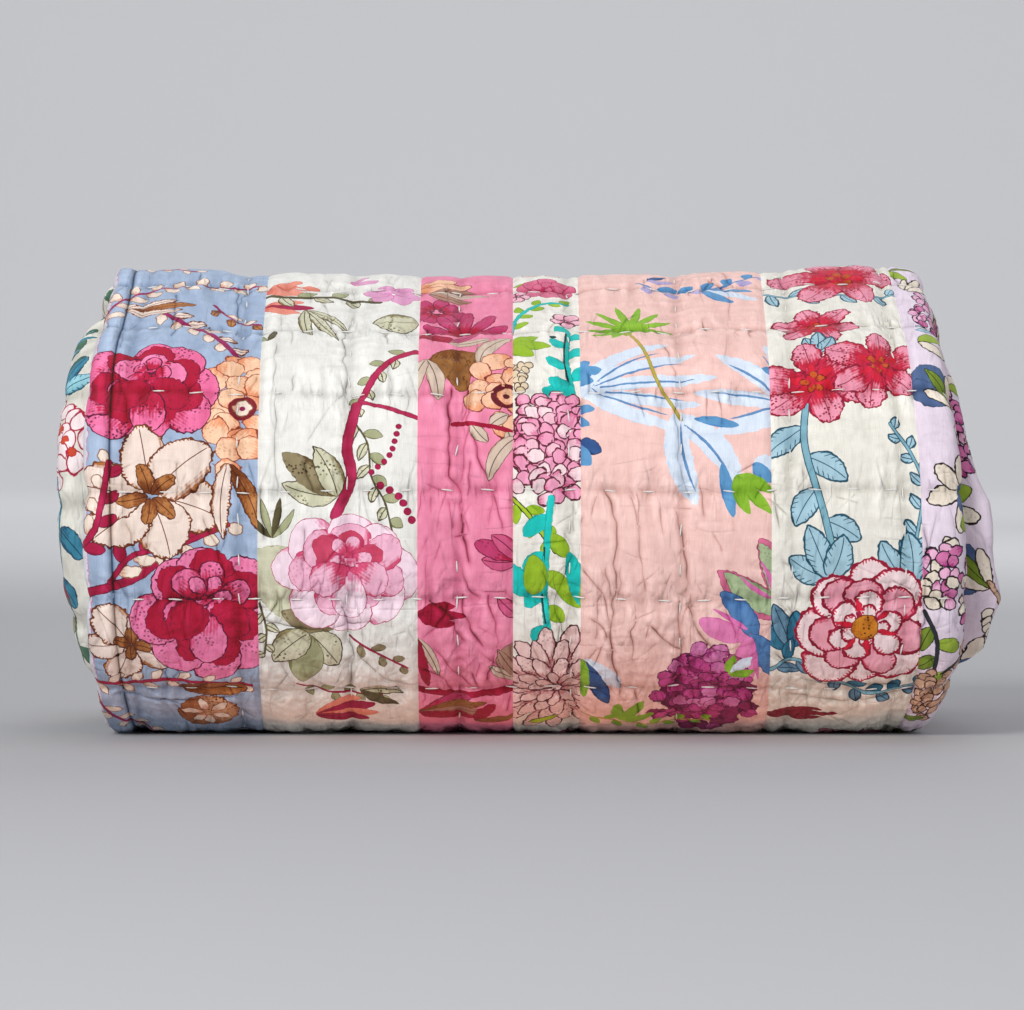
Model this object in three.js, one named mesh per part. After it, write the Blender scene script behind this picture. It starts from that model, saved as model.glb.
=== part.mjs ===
// A hand-quilted patchwork quilt, folded in three along its length and rolled up, lying on its side.
// X runs along the roll, -Y is its front and +Z is up. Millimetres. The origin is on the surface
// that the roll lies on, under its middle.
import * as THREE from "three";
import { mergeGeometries } from "three/addons/utils/BufferGeometryUtils.js";

const { clamp, degToRad, lerp, smoothstep } = THREE.MathUtils;

// The folded quilt.
const layerThickness = 7.8; // one padded layer with the air under it
const layersInTurn = 3;
const turnThickness = layerThickness * layersInTurn;

// The roll.
const halfWidth = 196; // from the middle to the outermost layer's edge
const centreHeight = 103;
const meanRadius = 119;
const turns = 3.5; // turns whose edges show at the ends, round a tight core
const looseEndAngle = 320; // degrees, at the lower back
const looseEndDrop = 5; // how far the loose end's corner is rounded off
const looseFrom = 0.9; // share of a turn after which the skin dips to run in under the loose end
const settledTurns = 2; // turns from the outside at which the winding is an even spiral

// The section seen from the left end, by the angle in degrees from the back over the top: how far
// the skin stands from the roll's centre line, and how far each end stands out there. The surface
// presses the lowest part flat.
const section = [
  { angle: 0, radius: 131, left: 0, right: 0 },
  { angle: 30, radius: 121, left: 0, right: -3 },
  { angle: 60, radius: 112, left: -3, right: -7 },
  { angle: 90, radius: 110, left: -5, right: -11 },
  { angle: 120, radius: 105.5, left: -4, right: -9 },
  { angle: 150, radius: 122.5, left: 0, right: -5 },
  { angle: 180, radius: 131, left: 1, right: 0 },
  { angle: 210, radius: 133.5, left: -1, right: 0 },
  { angle: 240, radius: 119, left: -5, right: -10 },
  { angle: 270, radius: 108, left: -6, right: -12 },
  { angle: 300, radius: 119, left: -4, right: -6 },
  { angle: 330, radius: 128, left: 0, right: -2 },
];

// Along the roll: the share of its width from the left, how far the skin is drawn in there,
// and how high the upper half stands.
const stations = [
  { share: 0, drawnIn: 9, crown: 1 },
  { share: 0.012, drawnIn: 4, crown: 1 },
  { share: 0.035, drawnIn: 1, crown: 1 },
  { share: 0.08, drawnIn: 0, crown: 1 },
  { share: 0.13, drawnIn: 1, crown: 0.985 },
  { share: 0.19, drawnIn: 2, crown: 0.97 },
  { share: 0.28, drawnIn: 0, crown: 0.975 },
  { share: 0.38, drawnIn: 2, crown: 0.96 },
  { share: 0.44, drawnIn: 0, crown: 0.97 },
  { share: 0.495, drawnIn: 2, crown: 0.96 },
  { share: 0.57, drawnIn: 1, crown: 0.97 },
  { share: 0.64, drawnIn: 0, crown: 0.97 },
  { share: 0.72, drawnIn: 0, crown: 0.98 },
  { share: 0.79, drawnIn: 1.5, crown: 0.985 },
  { share: 0.86, drawnIn: 0, crown: 1.01 },
  { share: 0.92, drawnIn: 0, crown: 1.015 },
  { share: 0.965, drawnIn: 1, crown: 1.01 },
  { share: 0.988, drawnIn: 4, crown: 1 },
  { share: 1, drawnIn: 9, crown: 0.99 },
];

// One turn's edges, from its outer side inwards, by the share of its thickness: how far each
// end's cloth reaches past the outermost layer's edge. The left end has the outer layer's hem
// and then the fold of the other two layers, and the right end has a fold and then a hem.
const edges = [
  { share: 0, left: -6, right: -6 },
  { share: 0.17, left: 0, right: 1 },
  { share: 0.34, left: -4, right: 2 },
  { share: 0.5, left: 10, right: 1 },
  { share: 0.67, left: 13, right: -4 },
  { share: 0.84, left: 10, right: 7 },
  { share: 1, left: -6, right: -6 },
];
const skinReach = -2; // the same for the rounded corner of the outermost layer

// How far each turn has slid along the roll at each end, from the outermost turn inwards.
const slides = [
  { turn: 0, left: 0, right: 0 },
  { turn: 1, left: 3, right: 5 },
  { turn: 2, left: 5, right: 8 },
  { turn: 3, left: 2, right: 6 },
  { turn: 4, left: -4, right: 0 },
  { turn: 5, left: -8, right: -6 },
];

const cellsInTurn = 52;

const cloth = new THREE.MeshStandardMaterial({ color: 0xdcb2b8, roughness: 0.9, metalness: 0 });

// The value in a table's column at a place, on a straight line between its rows.
function valueAt(table, place, column, at) {
  const next = clamp(table.findIndex((row) => row[place] > at), 1, table.length - 1);
  const high = at >= table[table.length - 1][place] ? table.length - 1 : next;
  const share = (at - table[high - 1][place]) / (table[high][place] - table[high - 1][place]);
  return lerp(table[high - 1][column], table[high][column], share);
}

// A column of the section at an angle, on a smooth closed curve through its rows.
function sectionAt(angle, column) {
  const at = ((angle % 360) * section.length) / 360;
  const row = Math.floor(at);
  const t = at - row;
  const value = (k) => section[(row + k + section.length) % section.length][column];
  const [a, b, c, d] = [value(-1), value(0), value(1), value(2)];
  return b + 0.5 * t * (c - a + t * (2 * a - 5 * b + 4 * c - d + t * (3 * (b - c) + d - a)));
}

// A place in the wound cloth. turn counts turns from the loose end, and across is the share of
// the turn's thickness that lies over it. dip is how far the winding has sunk, in turns, since
// the last whole turn: all at once under the loose end, and steadily further in.
function inCloth(turn, across, station) {
  const part = turn % 1;
  const settled = clamp((turn - part + across) / settledTurns, 0, 1);
  const dip = lerp(smoothstep(part, looseFrom, 1), part, settled);
  const skinShare = turn < 1 ? (1 - dip) * (1 - across) : 0;
  const angle = looseEndAngle + 360 * part;
  const [outwards, upwards] = [Math.cos(degToRad(angle)), Math.sin(degToRad(angle))];
  const drawnIn = station.drawnIn + (turn === 0 ? looseEndDrop : 0);
  const drawn = sectionAt(angle, "radius") - drawnIn * skinShare;
  const pressed = upwards < 0 ? Math.min(drawn, -centreHeight / upwards) : drawn;
  const depth = turnThickness * (turn - part + across + dip);
  const distance = pressed * (1 - depth / meanRadius);
  const height = distance * upwards * (upwards > 0 ? station.crown : 1);
  const corner = turn < 1 && across === 0 ? 1 - dip : 0;
  const reach = (end) => sectionAt(angle, end) + reachAt(end, turn, across, corner);
  const x = lerp(-reach("left"), reach("right"), station.share);
  return new THREE.Vector3(x, distance * outwards, Math.max(0, centreHeight + height));
}

// How far an end's cloth stands from the roll's middle. corner is how much of a place is the
// outermost layer's rounded corner.
function reachAt(end, turn, across, corner) {
  const reach = lerp(valueAt(edges, "share", end, across), skinReach, corner);
  return halfWidth + valueAt(slides, "turn", end, turn + across) + reach;
}

// A grid of cells with every corner put in its place.
function patch(columns, rows, place) {
  const grid = new THREE.PlaneGeometry(1, 1, columns, rows);
  const points = grid.getAttribute("position");
  for (let i = 0; i < points.count; i++) {
    const at = place(i % (columns + 1), Math.floor(i / (columns + 1)));
    points.setXYZ(i, at.x, at.y, at.z);
  }
  return grid;
}

// The outermost turn, from the loose end round the roll until it runs in under it.
function skin() {
  const place = (column, row) => inCloth(row / cellsInTurn, 0, stations[column]);
  return patch(stations.length - 1, cellsInTurn, place);
}

// The loose end's edge, as thick as one turn.
function looseEnd() {
  const last = stations.length - 1;
  const place = (column, row) => inCloth(0, edges[row].share, stations[last - column]);
  return patch(last, edges.length - 1, place);
}

// The wound edge of the cloth at one end, from the loose end in to the core.
function woundEnd(end) {
  const station = end === "left" ? stations[0] : stations[stations.length - 1];
  const last = turns * cellsInTurn;
  const turn = (column) => (end === "left" ? column : last - column) / cellsInTurn;
  const place = (column, row) => inCloth(turn(column), edges[row].share, station);
  return patch(last, edges.length - 1, place);
}

// The core, inside the last turn whose edge shows.
function core(end) {
  const station = end === "left" ? stations[0] : stations[stations.length - 1];
  const rim = [];
  for (let cell = 0; cell <= cellsInTurn; cell++) {
    rim.push(inCloth(turns - 1 + cell / cellsInTurn, 1, station));
  }
  for (let row = edges.length - 2; row > 0; row--) {
    rim.push(inCloth(turns, edges[row].share, station));
  }
  if (end === "left") rim.reverse();
  const middle = new THREE.Vector3();
  rim.forEach((at) => middle.addScaledVector(at, 1 / rim.length));
  const disc = new THREE.CircleGeometry(1, rim.length);
  const points = disc.getAttribute("position");
  for (let i = 0; i < points.count; i++) {
    const at = i === 0 ? middle : rim[(i - 1) % rim.length];
    points.setXYZ(i, at.x, at.y, at.z);
  }
  return disc;
}

const faces = [skin(), looseEnd(), woundEnd("left"), woundEnd("right"), core("left"), core("right")];
const wound = mergeGeometries(faces);
wound.deleteAttribute("uv");
wound.computeVertexNormals();
wound.computeBoundingBox();
const middle = wound.boundingBox.getCenter(new THREE.Vector3());
wound.translate(-middle.x, -middle.y, 0);

const rolledQuilt = new THREE.Mesh(wound, cloth);
rolledQuilt.name = "rolled_quilt";

const group = new THREE.Group();
group.add(rolledQuilt);
export default group;
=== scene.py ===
import math

import bmesh
import bpy
import numpy as np
from mathutils import Matrix, Vector


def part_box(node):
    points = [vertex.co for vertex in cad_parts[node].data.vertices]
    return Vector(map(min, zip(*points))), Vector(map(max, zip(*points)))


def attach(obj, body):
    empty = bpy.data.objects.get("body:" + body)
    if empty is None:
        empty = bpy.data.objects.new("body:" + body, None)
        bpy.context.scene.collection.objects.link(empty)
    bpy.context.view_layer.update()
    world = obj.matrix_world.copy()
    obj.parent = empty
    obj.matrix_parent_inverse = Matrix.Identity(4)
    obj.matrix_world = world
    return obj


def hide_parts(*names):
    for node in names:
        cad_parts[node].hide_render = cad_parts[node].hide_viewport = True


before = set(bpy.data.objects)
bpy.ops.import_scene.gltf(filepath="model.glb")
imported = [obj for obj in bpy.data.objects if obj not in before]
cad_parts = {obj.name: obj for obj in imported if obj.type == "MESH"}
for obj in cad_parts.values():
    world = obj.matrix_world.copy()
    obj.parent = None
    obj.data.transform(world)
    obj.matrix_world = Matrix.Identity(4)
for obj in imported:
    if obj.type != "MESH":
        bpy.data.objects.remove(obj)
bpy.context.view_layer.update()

# --- The way the quilt is wound ---------------------------------------------------------------
# One padded cotton quilt, folded in three along its length and rolled up. Every piece below lies
# on this winding. A turn is counted from the loose end at the lower back, up the back, over the
# top, down the front and under. across is the share of the turn's thickness that lies over a place.
mm = 0.001
turn_thickness = 23.4 * mm
mean_radius = 119 * mm
centre_height = 103 * mm
loose_end_angle = 320
loose_from = 0.9          # share of a turn after which the skin dips to run in under the loose end
settled_turns = 2
half_width = 196 * mm     # from the middle to the outermost layer's edge
lean_from = 145 * mm      # how far from the middle the ends begin to stand out unevenly
middle_x = 1.64 * mm      # from the outermost layer's middle to the roll's
middle_y = 0.25 * mm

# The section by its angle in degrees from the back over the top, in millimetres: how far the skin
# stands from the centre line, and how far each end stands out there.
section = [
    # angle, radius, left, right
    (0, 131, 0, 0), (30, 121, 0, -3), (60, 112, -3, -7), (90, 110, -5, -11),
    (120, 105.5, -4, -9), (150, 122.5, 0, -5), (180, 131, 1, 0), (210, 133.5, -1, 0),
    (240, 119, -5, -10), (270, 108, -6, -12), (300, 119, -4, -6), (330, 128, 0, -2),
]
radius_column, left_column, right_column = 1, 2, 3


def through(a, b, c, d, t):
    """A place between b and c, at a share t of the way, on a smooth curve through all four."""
    return b + 0.5 * t * (c - a + t * (2 * a - 5 * b + 4 * c - d + t * (3 * (b - c) + d - a)))


def section_at(angle, column):
    """A column of the section, in metres, on a smooth closed curve through its rows."""
    values = np.array([row[column] for row in section], float) * mm
    at = (np.asarray(angle, float) % 360) * len(values) / 360
    row = np.floor(at).astype(int)
    return through(*(values[(row + k) % len(values)] for k in (-1, 0, 1, 2)), at - row)


def smoothed(values, reach, **edges):
    """Each value's mean with as many as reach of its neighbours on both sides."""
    span = 2 * reach + 1
    return np.convolve(np.pad(values, reach, **edges), np.ones(span) / span, "valid")


def smooth_step(x, low, high):
    t = np.clip((x - low) / (high - low), 0, 1)
    return t * t * (3 - 2 * t)


def angle_of(turn):
    return loose_end_angle + 360 * (turn % 1)


def in_section(turn, across):
    """Where a place in the winding lies in the section: its y and z."""
    turn, across = np.broadcast_arrays(np.asarray(turn, float), np.asarray(across, float))
    part = turn % 1
    whole = turn - part
    settled = np.clip((whole + across) / settled_turns, 0, 1)
    dip = smooth_step(part, loose_from, 1) * (1 - settled) + part * settled
    angle = np.radians(angle_of(turn))
    outwards, upwards = np.cos(angle), np.sin(angle)
    radius = section_at(np.degrees(angle), radius_column)
    floor_radius = centre_height / np.maximum(-upwards, 1e-6)
    pressed = np.where(upwards < 0, np.minimum(radius, floor_radius), radius)
    distance = pressed * (1 - turn_thickness * (whole + across + dip) / mean_radius)
    return distance * outwards + middle_y, centre_height + distance * upwards


# The skin, which is the outermost turn: its places and outward normals by the length of cloth
# from the loose end. It runs on under the loose end by a short tuck.
tuck = 0.06               # of a turn
skin_turns = np.linspace(0, 1 + tuck, 2121)
skin_y, skin_z = (smoothed(v, 12, mode="reflect", reflect_type="odd") for v in in_section(skin_turns, 0))
skin_steps = np.hypot(np.diff(skin_y), np.diff(skin_z))
skin_lengths = np.concatenate([[0], np.cumsum(skin_steps)])
skin_length = skin_lengths[-1]
along_y, along_z = np.gradient(skin_y, skin_lengths), np.gradient(skin_z, skin_lengths)
normal_y, normal_z = along_z, -along_y

# Along the roll, from the left: how high the upper half stands there, as a share.
crowns = [
    # place in mm, height
    (-212, 0.985), (-190, 0.995), (-172, 1.0), (-150, 0.995), (-129, 0.972), (-112, 0.977),
    (-82, 0.977), (-49, 0.962), (-30, 0.97), (-4, 0.962), (14, 0.973), (36, 0.97), (78, 0.98),
    (107, 0.982), (122, 0.998), (144, 1.008), (168, 1.012), (180, 1.004), (212, 0.985),
]


def crown_at(x):
    places, heights = np.array(crowns, float).T
    fine = np.linspace(places[0], places[-1], 425)
    return np.interp(x, fine * mm, smoothed(np.interp(fine, places, heights), 7, mode="edge"))


def crowned(x, z):
    """A height, raised or lowered by how high the upper half stands at x."""
    return np.where(z > centre_height, centre_height + (z - centre_height) * crown_at(x), z)


def leaned(x, angle):
    """x with each end's uneven standing out, at an angle of the section, moved to the roll's own x."""
    edge = smooth_step(np.abs(x), lean_from, half_width)
    lean = np.where(x < 0, -section_at(angle, left_column), section_at(angle, right_column))
    return x + edge * lean + middle_x


def on_skin(x, s, lift):
    """A place on the outermost turn: x along the roll, s along the cloth, lift off its skin."""
    y = np.interp(s, skin_lengths, skin_y) + lift * np.interp(s, skin_lengths, normal_y)
    z = np.interp(s, skin_lengths, skin_z) + lift * np.interp(s, skin_lengths, normal_z)
    angle = angle_of(np.interp(s, skin_lengths, skin_turns))
    return np.stack([leaned(x, angle), y, np.maximum(crowned(x, z), 0)], axis=-1)

# --- The quilting relief ----------------------------------------------------------------------
# The three layers are held by running stitches in a grid of squares, so the cloth dips along each
# row, swells a little between the rows, and is creased and crinkled where washing has drawn the
# thread tight. All of it is worked out from a place's x and its length of cloth.
square = 49.4 * mm
row_on_front = 452.5 * mm     # cloth length of the row across the middle of the front
column_by_middle = -31 * mm
edge_column = -185.5 * mm     # where the hem is sewn down, with stitches that don't show
stitch_pitch = 18 * mm
stitch_length = 7 * mm
row_shift, column_shift = 31 * mm, 17 * mm      # of the stitches, from each row or column to the next
slump_from, slump_to = 470 * mm, 540 * mm      # cloth lengths over which the front begins to crumple

# The deepest creases, on the front, each by its depth and width and then its points, in mm.
creases = [
    (1.5, 1.5, (-35, 400), (-36, 440), (-31, 452), (-29, 470), (-26, 485)),
    (0.8, 1.6, (-26, 425), (-18, 448), (-12, 470)), (0.9, 1.5, (-30, 486), (-27, 497), (-22, 501)),
    (1.1, 1.5, (-29, 500), (-28, 512), (-19, 525)), (0.8, 1.6, (-44, 503), (-36, 509), (-30, 522)),
    (0.8, 1.7, (-42, 527), (-33, 540), (-27, 549)), (0.8, 1.5, (-18, 500), (-14, 520), (-19, 545)),
    (1.1, 1.7, (33, 452), (38, 463), (38, 500), (36, 520), (40, 545), (41, 556)),
    (0.8, 1.4, (25, 489), (33, 500), (35, 512)), (0.9, 1.4, (34, 488), (37, 500)),
    (1.2, 1.5, (65, 462), (68, 475), (71, 487), (70, 499)), (1.0, 1.5, (67, 503), (68, 545)),
    (0.9, 1.4, (54, 515), (60, 522), (69, 528)), (0.9, 1.4, (71, 505), (77, 518), (84, 528)),
    (0.8, 1.4, (62, 372), (66, 394)), (0.7, 1.6, (66, 405), (67, 438), (71, 455)),
    (0.6, 1.8, (45, 455), (50, 480), (52, 498)), (0.5, 2.0, (-113, 340), (-114, 400), (-112, 455)),
    (0.8, 1.6, (-84, 352), (-82, 402)), (0.8, 1.8, (-83, 505), (-79, 530), (-80, 550)),
    (0.7, 2.0, (-118, 512), (-95, 516), (-70, 512)), (0.8, 2.2, (-76, 530), (-62, 545), (-52, 548)),
    (0.8, 1.6, (-178, 468), (-173, 484)), (0.8, 1.6, (-144, 466), (-137, 484)),
    (0.7, 1.6, (-164, 318), (-162, 352)), (0.8, 1.6, (-134, 300), (-133, 345)),
    (0.9, 2.4, (112, 530), (128, 546), (168, 549)), (0.8, 2.4, (118, 556), (145, 560), (172, 553)),
    (0.7, 1.6, (108, 452), (112, 470)), (0.6, 2.0, (20, 480), (12, 505), (17, 520)),
    (0.8, 1.4, (76, 450), (78, 464)), (0.7, 1.3, (-119, 452), (-118, 474)),
    (0.7, 1.5, (-101, 541), (-88, 551), (-74, 556)), (0.8, 1.4, (-47, 538), (-38, 545), (-33, 556)),
    (0.7, 1.4, (-22, 528), (-14, 536), (-9, 548)), (0.8, 1.3, (-36, 505), (-40, 514), (-47, 520)),
    (0.6, 1.3, (57, 455), (60, 472)), (0.7, 1.3, (48, 505), (46, 522), (49, 540)),
    (0.8, 1.3, (28, 511), (33, 514), (35, 520)), (0.6, 1.4, (88, 505), (92, 520)),
    (0.7, 1.3, (-172, 500), (-176, 512)), (0.7, 1.4, (-186, 556), (-160, 560), (-130, 557)),
    (0.6, 1.4, (-100, 470), (-101, 500)), (0.7, 1.2, (14, 515), (8, 538)),
    (0.8, 1.3, (176, 470), (176, 500), (174, 530)), (0.7, 1.3, (-62, 335), (-64, 360)),
    (0.7, 1.3, (-160, 345), (-162, 366)),
]
creased = (-192, 196)     # between which the fine ones lie, across the cloth
rng = np.random.default_rng(56)
for row in range(-9, 8):
    for across in rng.uniform(*creased, 22):
        start, reach, slant = rng.normal(0, 2), rng.uniform(6, 19) * rng.choice([-1, 1]), rng.normal(0, 3)
        level = row_on_front / mm + square / mm * row + start
        creases.append((rng.uniform(0.25, 0.75), 1.1, (across, level), (across + slant, level + reach)))
for across in rng.uniform(*creased, 260):
    level, reach, lean = rng.uniform(440, 575), rng.uniform(4, 12), rng.normal(0, 0.9)
    shift = (reach * math.sin(lean), reach * math.cos(lean))
    creases.append((rng.uniform(0.15, 0.5), 0.9, (across, level), (across + shift[0], level + shift[1])))
for across in rng.uniform(*creased, 70):
    level, reach, slant = rng.uniform(20, 1100), rng.uniform(22, 60), rng.normal(0, 5)
    creases.append((rng.uniform(0.25, 0.6), 1.2, (across, level), (across + slant, level + reach)))


hills = 64                # after this many, a ripple's hills come again


def ripple(u, v, seed):
    """Smooth uneven hills of about one unit across, from -1 to 1, the same on every run."""
    heights = np.random.default_rng(seed).uniform(-1, 1, (hills, hills))
    iu, iv = np.floor(u).astype(int), np.floor(v).astype(int)
    fu, fv = u - iu, v - iv
    fu, fv = fu * fu * (3 - 2 * fu), fv * fv * (3 - 2 * fv)
    low, high = (heights[iu % hills, n % hills] * (1 - fu) + heights[(iu + 1) % hills, n % hills] * fu
                 for n in (iv, iv + 1))
    return low * (1 - fv) + high * fv


def smooth_line(points, step=3.0):
    """Points about a step apart on a smooth curve through the given ones."""
    points = np.array(points, float)
    ends = np.vstack([2 * points[0] - points[1], points, 2 * points[-1] - points[-2]])
    line = []
    for near in zip(ends, ends[1:], ends[2:], ends[3:]):
        count = max(2, math.ceil(np.hypot(*(near[2] - near[1])) / step))
        line += [through(*near, t) for t in np.arange(count) / count]
    return np.array(line + [points[-1]])


def crooked_line(points):
    """A crease's line, which wanders a little to and fro."""
    line = smooth_line(points, 2.5)
    line[:, 0] += 1.1 * ripple(line[:, 1] / 4.5, line[:, 0] * 0 + points[0][0], 55)
    return line


def beside_line(line, c, s):
    """For each place: how far it is off to the side of a line, signed, and past the line's ends."""
    start, step = line[:-1], np.diff(line, axis=0)
    length = np.hypot(*step.T)
    along = step / length[:, None]
    dc, ds = c[..., None] - start[:, 0], s[..., None] - start[:, 1]
    forward, aside = dc * along[:, 0] + ds * along[:, 1], ds * along[:, 0] - dc * along[:, 1]
    past = np.maximum(forward - length, 0) + np.minimum(forward, 0)
    nearest = np.argmin(np.hypot(aside, past), axis=-1)[..., None]
    pick = [np.take_along_axis(v, nearest, -1)[..., 0] for v in (aside, past)]
    on_first, on_last = nearest[..., 0] == 0, nearest[..., 0] == len(step) - 1
    beyond = (pick[1] > 0) & on_last | (pick[1] < 0) & on_first
    return pick[0], np.where(beyond, np.abs(pick[1]), 0)


crease_lines = [(deep, wide, crooked_line(points)) for deep, wide, *points in creases]
crease_reach = 6          # how far from its line, in mm, a crease still tells
crease_lows = np.array([line.min(0) - crease_reach for *_, line in crease_lines])
crease_highs = np.array([line.max(0) + crease_reach for *_, line in crease_lines])


def creases_near(c, s):
    """Each crease that comes near some of the places, in mm, with which places they are."""
    reached = np.all(crease_lows < (c.max(), s.max()), 1) & np.all(crease_highs > (c.min(), s.min()), 1)
    for k in np.nonzero(reached)[0]:
        (low_c, low_s), (high_c, high_s) = crease_lows[k], crease_highs[k]
        near = np.nonzero((c > low_c) & (c < high_c) & (s > low_s) & (s < high_s))[0]
        if len(near):
            yield *crease_lines[k], near


def crease_fade(c, s):
    """How much of its depth a crease keeps at a place, as creases come and go along their way."""
    return np.clip(0.62 + 0.55 * ripple(s / 8, c / 8, 57), 0.1, 1)


def crease_depth(x, s):
    depth = np.zeros(x.shape)
    for deep, wide, line, near in creases_near(x / mm, s / mm):
        aside, past = beside_line(line, x[near] / mm, s[near] / mm)
        off = np.hypot(aside, 0.5 * past) / (wide * 0.75)
        profile = np.exp(-off * off) - 0.4 * np.exp(-((off - 2) ** 2))
        depth[near] += 0.75 * deep * mm * profile * crease_fade(x[near] / mm, s[near] / mm)
    return depth


def row_line(row, x):
    """The cloth length at which a stitched row lies, wavering as hand work does."""
    return row_on_front + square * row + 1.2 * mm * ripple(x / (70 * mm), row * 3.7, 11)


def column_line(column, s):
    return column_by_middle + square * column + 1.2 * mm * ripple(s / (70 * mm), column * 3.7, 12)


def edge_line(s):
    """How far across the cloth the hem is sewn down, which leans in a little downwards."""
    lean = np.clip((s - row_on_front) / (150 * mm), -1, 1)
    return edge_column + 2 * mm * lean + 0.6 * mm * ripple(s / (60 * mm), s * 0, 13)


def furrow(off, along, seed):
    """How deep a stitched row draws the cloth in, off to its side and along it."""
    pull = 1 + 0.4 * ripple(along / (23 * mm), along * 0, seed)
    in_stitch = 0.5 + 0.5 * np.cos(2 * np.pi * along / stitch_pitch)
    line = np.exp(-((off / (1.8 * mm)) ** 2)) * (0.25 + 0.45 * in_stitch)
    valley = np.exp(-((off / (7 * mm)) ** 2)) * 0.85
    return -(line + valley) * pull * mm


def relief(x, s):
    """The height of the quilted cloth over the skin, by its place along the roll and in length."""
    row = np.round((s - row_on_front) / square)
    off_row = s - row_line(row, x)
    column = np.round((x - column_by_middle) / square)
    off_column = x - column_line(column, s)
    h = furrow(off_row, x + row_shift * row, 21) + furrow(off_column, s + column_shift * column, 22)
    # the groove where the hem is sewn down, and the hem's own thickness beside it
    off_edge = x - edge_line(s)
    h = h - 1.1 * mm * np.exp(-((off_edge / (1.1 * mm)) ** 2))
    h = h + 0.5 * mm * np.exp(-(((off_edge + 5 * mm) / (3.5 * mm)) ** 2))
    # the padding, which swells between the rows
    swell = np.abs(np.sin(np.pi * off_row / square) * np.sin(np.pi * off_column / square))
    h = h + 0.9 * mm * swell ** 0.6
    # puckers across the rows and columns, close beside them, and longer folds between
    warp = 3 * mm * ripple(x / (21 * mm), s / (21 * mm), 31)
    near_row, near_column = (np.exp(-np.abs(off) / (12 * mm)) for off in (off_row, off_column))
    h = h + near_row * 0.9 * mm * ripple((x + warp) / (3.2 * mm), s / (17 * mm), 41)
    h = h + near_column * 0.45 * mm * ripple((s + warp) / (3.4 * mm), x / (17 * mm), 42)
    h = h + 0.45 * mm * ripple((x + warp) / (9 * mm), (s - warp) / (38 * mm), 43)
    # sharp valleys that run along, across and aslant, stronger in some places
    strong = 0.55 + 0.45 * ripple(x / (38 * mm), s / (38 * mm), 44)
    lengthwise = 1 - np.abs(ripple((x + 1.5 * warp) / (12 * mm), (s - warp) / (42 * mm), 51))
    crosswise = 1 - np.abs(ripple((x - warp) / (30 * mm), (s + 2 * warp) / (15 * mm), 52))
    slanting = 1 - np.abs(ripple((x + 0.6 * s) / (15 * mm), (s - 0.6 * x) / (33 * mm), 53))
    h = h - strong * mm * (0.4 * lengthwise ** 9 + 0.2 * crosswise ** 9 + 0.3 * slanting ** 9)
    # the lower front, which is crumpled where the roll bears on it
    low_down = smooth_step(s, slump_from, slump_to) * (0.7 + 0.5 * ripple(x / (45 * mm), s / (45 * mm), 45))
    crumple = ripple((x + 0.5 * s + warp) / (4.6 * mm), (s - 0.4 * x) / (8 * mm), 54)
    h = h + low_down * mm * (0.35 * crumple - 0.4 * (1 - np.abs(crumple)) ** 4)
    return h - crease_depth(x, s) + 0.12 * mm * ripple(x / (1.9 * mm), s / (2.6 * mm), 61)


# --- The printed cottons ----------------------------------------------------------------------
# Every strip is plain-woven cotton printed with flowers and leaves by screen, ink over ink. Each
# face of the cloth keeps the three topmost printed shapes that reach it, as how far along and
# across each shape it lies, and the material draws their outlines, shading and veins from that.
face_shapes = ("print_low", "print_mid", "print_top")
far_off = 9               # a place across a shape that is well outside it
two_of_three = np.array([(1, 2), (0, 2), (0, 1)])     # the shapes that stay when one of three goes
ragged_room = 0.9         # how far past its edge, in mm, a shape can be drawn
hem_crease_depth = 1.4


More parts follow.
